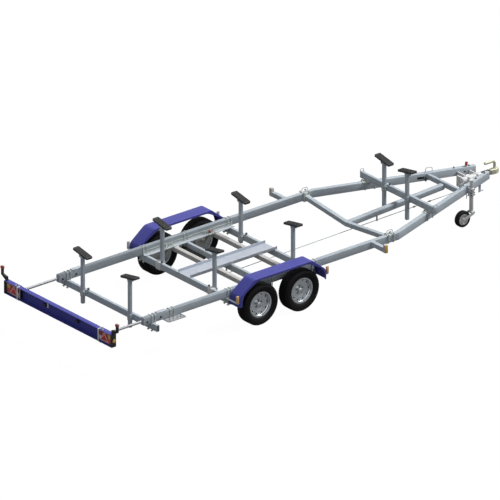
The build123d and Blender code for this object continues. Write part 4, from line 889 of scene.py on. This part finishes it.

# %% Axle bolts and painted highlights on the edges of the axle angles
AXLE_BOLTS = (-0.075, -0.030, 0.030, 0.075)
flange_bolts, angle_edge_highlights = [], []
for name, side in (("axle_angle_left", 1), ("axle_angle_right", -1)):
    low, high = box_of(name)
    inner = low.y + 0.022 if side > 0 else high.y - 0.022
    web = side * (RAIL_MID_Y - RAIL_HALF)
    for axle in ("front_axle", "rear_axle"):
        axle_low, axle_high = box_of(axle)
        for x in AXLE_BOLTS:
            x += (axle_low.x + axle_high.x) / 2
            flange_bolts.append((Vector((x, inner, low.z + 0.008)), UP))
            flange_bolts.append((Vector((x, web - side * 0.009, low.z + 0.036)), (0.0, -side, 0.0)))
    # Thin bright zinc wires along the top edge and the lower fold of each angle are painted highlights.
    for z in (high.z - 0.002, low.z + 0.012):
        angle_edge_highlights.append([(low.x + 0.004, web - side * 0.005, z), (high.x - 0.004, web - side * 0.005, z)])
bolts("axle_bolts", flange_bolts, bright_zinc)
wires("angle_edge_highlights", angle_edge_highlights, bright_zinc, 0.004, 0.0)
print("axle bolts:", len(flange_bolts), "angle edges:", len(angle_edge_highlights))

# %% Rail cap, rod joints and drawbar fittings
CAP_X, CAP_Y = 0.40, 0.905
ROD_REAR_Z, ROD_FRONT_Z = 0.280, 0.350
ROD_JOINTS = (3.45, 3.74)
CABLE_PLATES = ((3.885, 0.530, 0.085, 0.034), (3.938, 0.528, 0.012, 0.040))
INNER_BOLTS = ((3.966, 0.512), (3.966, 0.478), (4.54, 0.53))
TOP_BOLTS, LOW_BOLT = (4.40, 4.62), 4.575
piece("brick_cap", [disc(at(CAP_X, CAP_Y, 0.500), UP, 0.020, 0.030, 0, 20, rim=0.004),
                    disc(at(CAP_X, CAP_Y, 0.480), UP, 0.012, 0.020, 0, 12)], [brick_cap])
rod_low, rod_high = box_of("brake_rod")
rod_joints = []
for x in ROD_JOINTS:
    centre = at(x, 0.0, ROD_REAR_Z)
    centre.z += (ROD_FRONT_Z - ROD_REAR_Z) * (centre.x - rod_low.x) / (rod_high.x - rod_low.x)
    rod_joints.append(disc(centre, (1, 0, 0), 0.012, 0.030, 0, 12, rim=0.002))
    rod_joints.append(disc(centre + Vector((0.022, 0, 0)), (1, 0, 0), 0.009, 0.014, 0, 6))
piece("rod_joints", rod_joints, [dark_steel])
drawbar_turn = Matrix.Rotation(-DRAWBAR_ANGLE, 4, "Z")
plates = []
for x, z, long, tall in CABLE_PLATES:
    plates.append(moved(block((-long / 2, -0.006, -tall / 2), (long / 2, 0.0, tall / 2), 0.002),
                        Matrix.Translation(at(x, drawbar_inner_y(x), z)) @ drawbar_turn))
piece("cable_plates", plates, [black_plastic])
inward = tuple(drawbar_turn @ Vector((0, -1, 0)))
drawbar_bolts = [(at(x, drawbar_inner_y(x), z), inward) for x, z in INNER_BOLTS]
drawbar_bolts += [(at(x, side * rail_y(x), RAIL_TOP), UP) for x in TOP_BOLTS for side in SIDES]
drawbar_bolts.append((at(LOW_BOLT, rail_y(LOW_BOLT), RAIL_BOTTOM), DOWN))
bolts("drawbar_bolts", drawbar_bolts, dark_steel, thread=0.020)
print("rod joints:", len(ROD_JOINTS), "cable plates:", len(plates), "drawbar bolts:", len(drawbar_bolts))

# %% [markdown]
# ## Weld seams
# A weld is a row of small ripples where two pieces of steel meet. A bump in the finish could fake it, but
# would be missing from the mesh, so the weld tree sets drops of slightly different size.

# %% Weld seams
seams = []
nose_low, nose_high = box_of("nose_crossbeam")
for side in SIDES:
    corners = [(x, side * drawbar_inner_y(x + BOGIE)) for x in (nose_low.x, nose_high.x)]
    seams += [[(x, y, nose_low.z), (x, y, nose_high.z)] for x, y in corners]
    seams.append([(x, y, nose_high.z) for x, y in corners])
low, high = box_of("centre_beam")
for y in (low.y, high.y):
    seams.append([(nose_low.x - 0.002, y, nose_low.z + 0.004), (nose_low.x - 0.002, y, nose_high.z - 0.004)])
for low, high in islands("post_sleeves"):
    for y in (low.y, high.y):
        seams.append([(high.x, y, low.z + 0.004), (high.x, y, high.z - 0.004)])
for low, high in islands("pad_clevises"):
    seams.append([(low.x, low.y, high.z - 0.030), (low.x, high.y, high.z - 0.030)])
welds("weld_seams", seams, bead=0.0032)
print("weld seams:", len(seams))

# %% [markdown]
# ## Wheels and tyres
# Each tyre is one closed outline turned about the axle: bead, bulging sidewall with two thin rings,
# shoulder, and a tread with four grooves. A Screw modifier could turn it, but rings of points that join
# up leave no seam to close. Shoulder blocks and narrow slanted bars come from the tread tree. Dark rings
# behind the vents, in the rim's groove, in the barrel and around the hub are painted shade that gives the
# wheel its depth, and five bolts and a valve finish it. All of it rides on the wheel's body, so it rolls
# with the wheel. The jockey wheel's tyre is turned in the same way, with its outline in shares of the CAD
# tyre's size.

# %% Outlines of (along the axle, radius) pairs
TYRE_HALF = [
    (0.0630, 0.1850), (0.0690, 0.1965), (0.0790, 0.2050), (0.0870, 0.2180), (0.0890, 0.2190), (0.0905, 0.2220),
    (0.0900, 0.2250), (0.0930, 0.2360), (0.0960, 0.2500), (0.0968, 0.2620), (0.0955, 0.2740), (0.0970, 0.2755),
    (0.0965, 0.2790), (0.0940, 0.2800), (0.0900, 0.2920), (0.0850, 0.3010), (0.0800, 0.3070), (0.0740, 0.3110),
    (0.0640, 0.3130), (0.0500, 0.3140), (0.0485, 0.3070), (0.0415, 0.3070), (0.0400, 0.3143), (0.0200, 0.3145),
    (0.0185, 0.3075), (0.0115, 0.3075), (0.0100, 0.3145),
]
JOCKEY_HALF = [(0.70, 0.685), (0.93, 0.735), (0.995, 0.80), (1.0, 0.86), (0.95, 0.925), (0.82, 0.972),
               (0.60, 0.992), (0.30, 1.0)]
# Painted shade in the wheel's recesses: a black disc behind the vents and dark rings in the rim's groove, around the
# hub and in the barrel.
PAINTED_SHADE_RINGS = (
    (((0.004, 0.1135), (0.012, 0.1135), (0.012, 0.172), (0.004, 0.172)), 48, 0),
    (((0.0225, 0.1732), (0.0260, 0.1732), (0.0276, 0.1650), (0.0240, 0.1650)), 64, 1),
    (((0.0135, 0.0318), (0.0170, 0.0318), (0.0155, 0.0370), (0.0135, 0.0370)), 40, 1),
    (((0.046, 0.1722), (0.056, 0.1722), (0.056, 0.1745), (0.046, 0.1745)), 64, 1),
)


def mirrored(half):
    """A half outline and its mirror image as one closed outline."""
    return half + [(-a, r) for a, r in reversed(half)]


print("tyre outline points:", len(mirrored(TYRE_HALF)))

# %% The four wheels
WHEEL_BOLTS, BOLT_CIRCLE, BOLT_FACE = 5, 0.056, 0.0145
VALVE_CIRCLE, VALVE_ANGLE, VALVE_OUT = 0.158, 1.9, 0.048
for end in ("front", "rear"):
    for name, side in (("left", 1), ("right", -1)):
        wheel = f"{end}_{name}"
        body = f"wheel_{wheel}"
        low, high = box_of(f"tyre_{wheel}")
        hub = (low + high) / 2
        piece(f"tyre_{wheel}_dressed", [turned(hub, (0, 1, 0), mirrored(TYRE_HALF), 96)], [tyre_rubber], body,
              [f"tyre_{wheel}"], smooth_deg=50.0)
        for label, y, turns, radius, size, skew in (
                ("tread", 0.0660, (0.0, 0.05), 0.3104, (0.014, 0.020, 0.006), 0.25),
                ("sipes", 0.030, (0.02, 0.06), 0.3105, (0.005, 0.019, 0.0072), 0.6)):
            rows = [hub - Vector((0, y, 0)), hub + Vector((0, y, 0))]
            piece(f"{label}_{wheel}", tread(rows, turns, radius, size, skew), (), body)
        # Painted shade: these dark rings stand in for the shade behind the vents and in the rim's recesses.
        piece(f"wheel_painted_shade_{wheel}", [turned(hub, (0, side, 0), *ring) for ring in PAINTED_SHADE_RINGS],
              [black_plastic, dark_steel], body)
        angles = [math.tau * k / WHEEL_BOLTS + 0.3 for k in range(WHEEL_BOLTS)]
        spots = [(hub + Vector((BOLT_CIRCLE * math.cos(a), side * BOLT_FACE, BOLT_CIRCLE * math.sin(a))),
                  (0.0, side, 0.0)) for a in angles]
        bolts(f"wheel_bolts_{wheel}", spots, nut_grey, body, size=0.011, thread=0.004)
        stem = hub + Vector((VALVE_CIRCLE * math.cos(VALVE_ANGLE), side * VALVE_OUT,
                             VALVE_CIRCLE * math.sin(VALVE_ANGLE)))
        valve = disc(stem, (0, side, 0), 0.0045, 0.034, 0, 10, tip=0.003)
        piece(f"valve_{wheel}", [valve], [black_rubber], body)
print("wheels dressed, bolts on each:", WHEEL_BOLTS)

# %% Jockey wheel tyre
low, high = box_of("jockey_tyre")
half, top = (high.y - low.y) / 2, (high.z - low.z) / 2
outline = mirrored([(a * half, r * top) for a, r in JOCKEY_HALF])
piece("jockey_tyre_dressed", [turned((low + high) / 2, (0, 1, 0), outline, 72)], [tyre_rubber], "jockey_wheel",
      ["jockey_tyre"], smooth_deg=60.0)
print("jockey tyre radius:", round(top, 3))

# %% [markdown]
# ## Lamps, markers and reflectors
# The rear lamps have a pale frame with an amber field at the outer top, a bright red one below it, a clear
# one at the inner bottom, and a bright red triangle on dark red. The side markers are amber on a grey
# foot, the small horns at the bar's ends carry a red lens to the rear and a clear one to the front, and a
# round amber reflector sits on each end cap. The fields could be a picture on a flat lens. Raised blocks
# are used, because each then has its own finish and its edges show in the mesh.

# %% Rear lamps
LAMP_FINISHES = [black_plastic, clear_lens, amber_lens, red_lens, bright_red_lens]
# Shares of the width from the outer end, shares of the height, finish number, rise.
LAMP_FIELDS = ((0.035, 0.965, 0.06, 0.94, 3, 0.002), (0.05, 0.26, 0.50, 0.92, 2, 0.004),
               (0.76, 0.95, 0.08, 0.50, 1, 0.004), (0.05, 0.26, 0.08, 0.44, 4, 0.004))
# Half width, shares of the height at foot and peak, rise, finish number.
LAMP_TRIANGLES = ((0.098, 0.07, 0.94, 0.0045, 1), (0.080, 0.12, 0.85, 0.0062, 4), (0.040, 0.24, 0.58, 0.0066, 3))
lamp_parts = []
for low, high, side, outer, _ in sided("rear_lamps"):
    face = low.x + 0.006
    wide, tall = high.y - low.y, high.z - low.z
    lamp_parts.append(block((face, low.y, low.z), high, 0.006, 0))
    lamp_parts.append(block((face - 0.002, low.y + 0.002, low.z + 0.002),
                            (face + 0.010, high.y - 0.002, high.z - 0.002), 0.003, 1))
    for a, b, c, d, number, rise in LAMP_FIELDS:
        first, second = sorted((outer - side * a * wide, outer - side * b * wide))
        lamp_parts.append(block((face - rise - 0.002, first, low.z + c * tall),
                                (face + 0.004, second, low.z + d * tall), 0.002, number))
    tip = outer - side * 0.54 * wide
    for reach, foot, peak, rise, number in LAMP_TRIANGLES:
        corners = [(tip - reach, low.z + foot * tall), (tip + reach, low.z + foot * tall), (tip, low.z + peak * tall)]
        lamp_parts.append(plate_across(corners, face - rise, face, number, 0.0008))
piece("rear_lamps_dressed", lamp_parts, LAMP_FINISHES, "light_bar", ["rear_lamps"])
print("rear lamp parts:", len(lamp_parts))

# %% Number-plate lamps, end reflectors and horns
small = []
for low, high in islands("number_plate_lamps"):
    small.append(block(low, high, 0.006, 0))
    small.append(block((low.x + 0.004, low.y + 0.008, low.z - 0.001),
                       (high.x - 0.006, high.y - 0.008, low.z + 0.010), 0.002, 1))
    if low.y > 0:
        small.append(block((high.x - 0.006, low.y - 0.046, low.z - 0.015),
                           (high.x, low.y - 0.012, high.z + 0.015), 0.001, 2))
piece("number_plate_lamps_dressed", small, [black_plastic, clear_lens, pale_grey], "light_bar",
      ["number_plate_lamps"])
reflectors = []
for low, high, side, outer, _ in sided("light_bar_end_caps"):
    for number, out, radius, rim in ((0, 0.002, 0.034, 0.0015), (1, 0.004, 0.029, 0.002)):
        centre = Vector(((low.x + high.x) / 2, outer + side * out, (low.z + high.z) / 2))
        reflectors.append(disc(centre, (0, side, 0), radius, 0.008, number, 32, rim=rim))
piece("end_reflectors", reflectors, [black_plastic, amber_lens], "light_bar")
horns = []
for low, high in islands("outline_marker_lenses"):
    middle = (low.x + high.x) / 2
    horns.append(block(low, (middle - 0.002, high.y, high.z), 0.006, 0))
    horns.append(block((middle + 0.002, low.y, low.z), high, 0.006, 1))
    horns.append(block((middle - 0.003, low.y + 0.003, low.z),
                       (middle + 0.003, high.y - 0.003, high.z - 0.003), 0.001, 2))
piece("outline_lenses_dressed", horns, [red_lens, clear_lens, black_rubber], "light_bar",
      ["outline_marker_lenses"])
print("small lamps:", len(small) + len(reflectors) + len(horns), "parts")

# %% Side markers
FRONT_ARMS_FROM = 0.5
markers = []
for low, high, _, outer, inner in sided("side_markers"):
    share = inner + (outer - inner) * (0.68 if high.y - low.y > 0.04 else 0.5)
    for ends, inset, number in (((inner, share), 0.0, 0), ((share, outer), 0.002, 1)):
        markers.append(block((low.x + inset, min(ends), low.z + inset),
                             (high.x - inset, max(ends), high.z - inset), 0.005, number))
boxes = [block((low.x - 0.005, low.y, low.z - 0.002), (high.x + 0.010, high.y, high.z + 0.017), 0.004)
         for low, high in islands("marker_arms") if low.x > FRONT_ARMS_FROM]
piece("marker_boxes", boxes, [hot_dip_zinc])
piece("side_markers_dressed", markers, [grey_plastic, amber_lens], stands_for=["side_markers"])
print("side markers:", len(markers) // 2)

# %% [markdown]
# ## Light-bar hardware
# Screws and pale straps hold the lamp holders on the blue bar. A strap could be one bent strip. Four thin
# boxes around the holder's inner end look the same from outside and need no bend.

# %% Light-bar screws and straps
screws, strips = [], []
for low, high, side, _, inner in sided("lamp_holders"):
    for y, z, way in ((0.016, high.z, UP), (0.075, high.z, UP), (0.018, low.z, DOWN)):
        screws.append((Vector((low.x + 0.030, inner + side * y, z)), way))
    ends = sorted((inner - side * 0.002, inner + side * 0.026))
    for first, second, foot, top in ((-0.002, 0.050, low.z - 0.001, low.z + 0.005),
                                     (-0.002, 0.050, high.z - 0.005, high.z + 0.002),
                                     (0.044, 0.050, low.z, high.z), (-0.001, 0.003, low.z, high.z)):
        strips.append(block((low.x + first, ends[0], foot), (low.x + second, ends[1], top), 0.001))
bolts("holder_screws", screws, bright_zinc, "light_bar", size=0.009, thread=0.020)
piece("holder_strips", strips, [pale_grey], "light_bar")
print("holder screws:", len(screws), "strap sides:", len(strips))

# %% [markdown]
# ## Pads
# The hull rests on eight rubber pads, ribbed along their length. An Array modifier could repeat a rib, but
# the rib tree takes the place and tilt of each pad from its top face, and so serves all of them at once.

# %% Pad ribs
RIBS, RIB_HEIGHT = 7, 0.005
spots, tilts = [], []
work = merged("support_pads", flat=True)
for face in work.faces:
    if face.normal.z > 0.5 and face.calc_area() > 0.01:
        edge = max(face.edges, key=lambda e: e.calc_length())
        long_way = (edge.verts[1].co - edge.verts[0].co).normalized()
        cross_way = face.normal.cross(long_way)
        spots.append(face.calc_center_median() + face.normal * 0.0005)
        tilts.append(Matrix((long_way, cross_way, face.normal)).transposed().to_euler())
        rib_long = edge.calc_length()
        rib_pitch = face.calc_area() / rib_long / (RIBS + 1.5)
work.free()
ribs = grown(rib_tree, points_mesh("pad_places", spots, "tilt", tilts),
             {"Ribs": RIBS, "Pitch": rib_pitch, "Rib Size": (rib_long * 0.92, rib_pitch * 0.5, RIB_HEIGHT),
              "Finish": pad_rubber})
piece("pad_ribs", ribs)
print("ribbed pads:", len(spots), "rib length:", round(rib_long, 3))

# %% [markdown]
# ## The front end
# A rubber bellows and its collar cover the overrun's sliding bar, the red knob is a rounded block on a
# round base, and bands and bolts hold the jockey wheel's clamp. The bellows' folds could be stacked rings.
# One wavy outline turned about the bar is smoother, and the number of folds is a single value.

# %% Bellows with soft folds, and its collar
FOLDS, FINE = 6, 8
low, high = box_of("bellows")
middle = Vector((0.0, (low.y + high.y) / 2, (low.z + high.z) / 2))
radius = (high.z - low.z) / 2
steps = FOLDS * FINE
outline = []
for k in range(steps + 1):
    along = low.x + (high.x - low.x) * k / steps
    outline.append((along, radius * (0.885 + 0.115 * math.cos(math.tau * k / FINE))))
outline += [(high.x, radius * 0.55), (low.x, radius * 0.55)]
piece("bellows_dressed", [turned(middle, (1, 0, 0), outline, 48)], [black_rubber], "chassis",
      ["bellows"], smooth_deg=60.0)
# The collar shares the cast zinc, whose colour is raised as painted light.
collar = [(-0.045, 0.60), (-0.045, 0.98), (-0.012, 1.04), (0.004, 0.98), (0.004, 0.60)]
outline = [(low.x + along, radius * share) for along, share in collar]
piece("bellows_collar", [turned(middle, (1, 0, 0), outline, 40)], [cast_zinc_with_painted_light])
print("bellows folds:", FOLDS)

# %% Red knob, housing bolts and jockey clamp
low, high = box_of("red_knob")
centre = (low + high) / 2
knob = moved(block((-0.019, -0.019, -0.024), (0.019, 0.019, 0.024), 0.005, 0, 3),
             Matrix.Translation(centre + Vector((0, 0, 0.006))) @ Matrix.Rotation(0.65, 4, "Z")
             @ Matrix.Rotation(0.6, 4, "Y"))
base = disc(Vector((centre.x, centre.y, low.z + 0.008)), UP, 0.022, 0.016, 1, 20, rim=0.003)
piece("red_knob_dressed", [knob, base], [red_plastic, yellow_zinc], "chassis", ["red_knob"])
low, high = box_of("overrun_housing")
rear_bolts = [(Vector((low.x, y, high.z - drop)), REARWARD) for y in (-0.050, 0.050) for drop in (0.022, 0.145)]
bolts("housing_bolts", rear_bolts, bright_zinc)
low, high = box_of("jockey_clamp")
tube_low, tube_high = box_of("jockey_tube")
BAND = [(-0.011, 0.0405), (0.011, 0.0405), (0.011, 0.0435), (-0.011, 0.0435)]
bands, band_bolts = [], []
for z in (low.z + 0.040, (low.z + high.z) / 2 + 0.005, high.z - 0.020):
    centre = Vector(((tube_low.x + tube_high.x) / 2, (tube_low.y + tube_high.y) / 2, z))
    bands.append(turned(centre, UP, BAND, 40))
    for way in (-1, 1):
        band_bolts.append((centre + Vector((way * 0.030, -0.032, 0)), (way * 0.7, -0.7, 0.0)))
piece("jockey_bands", bands, [pale_grey])
bolts("jockey_band_bolts", band_bolts, dark_steel, size=0.008)
print("housing bolts:", len(rear_bolts), "jockey bands:", len(bands))

# %% [markdown]
# ## The solids behind the copies
# Every CAD piece now has a dressed copy that stands for it. The solids get the finish of their material
# slot as well, so that a piece still looks right if its copy is taken out.

# %% Finishes on the CAD pieces
for name, shown in frame["nodes"].items():
    shown.data.materials.clear()
    shown.data.materials.append(finish_of_slot[slot_of[name]])
print("CAD pieces with a finish:", len(frame["nodes"]))
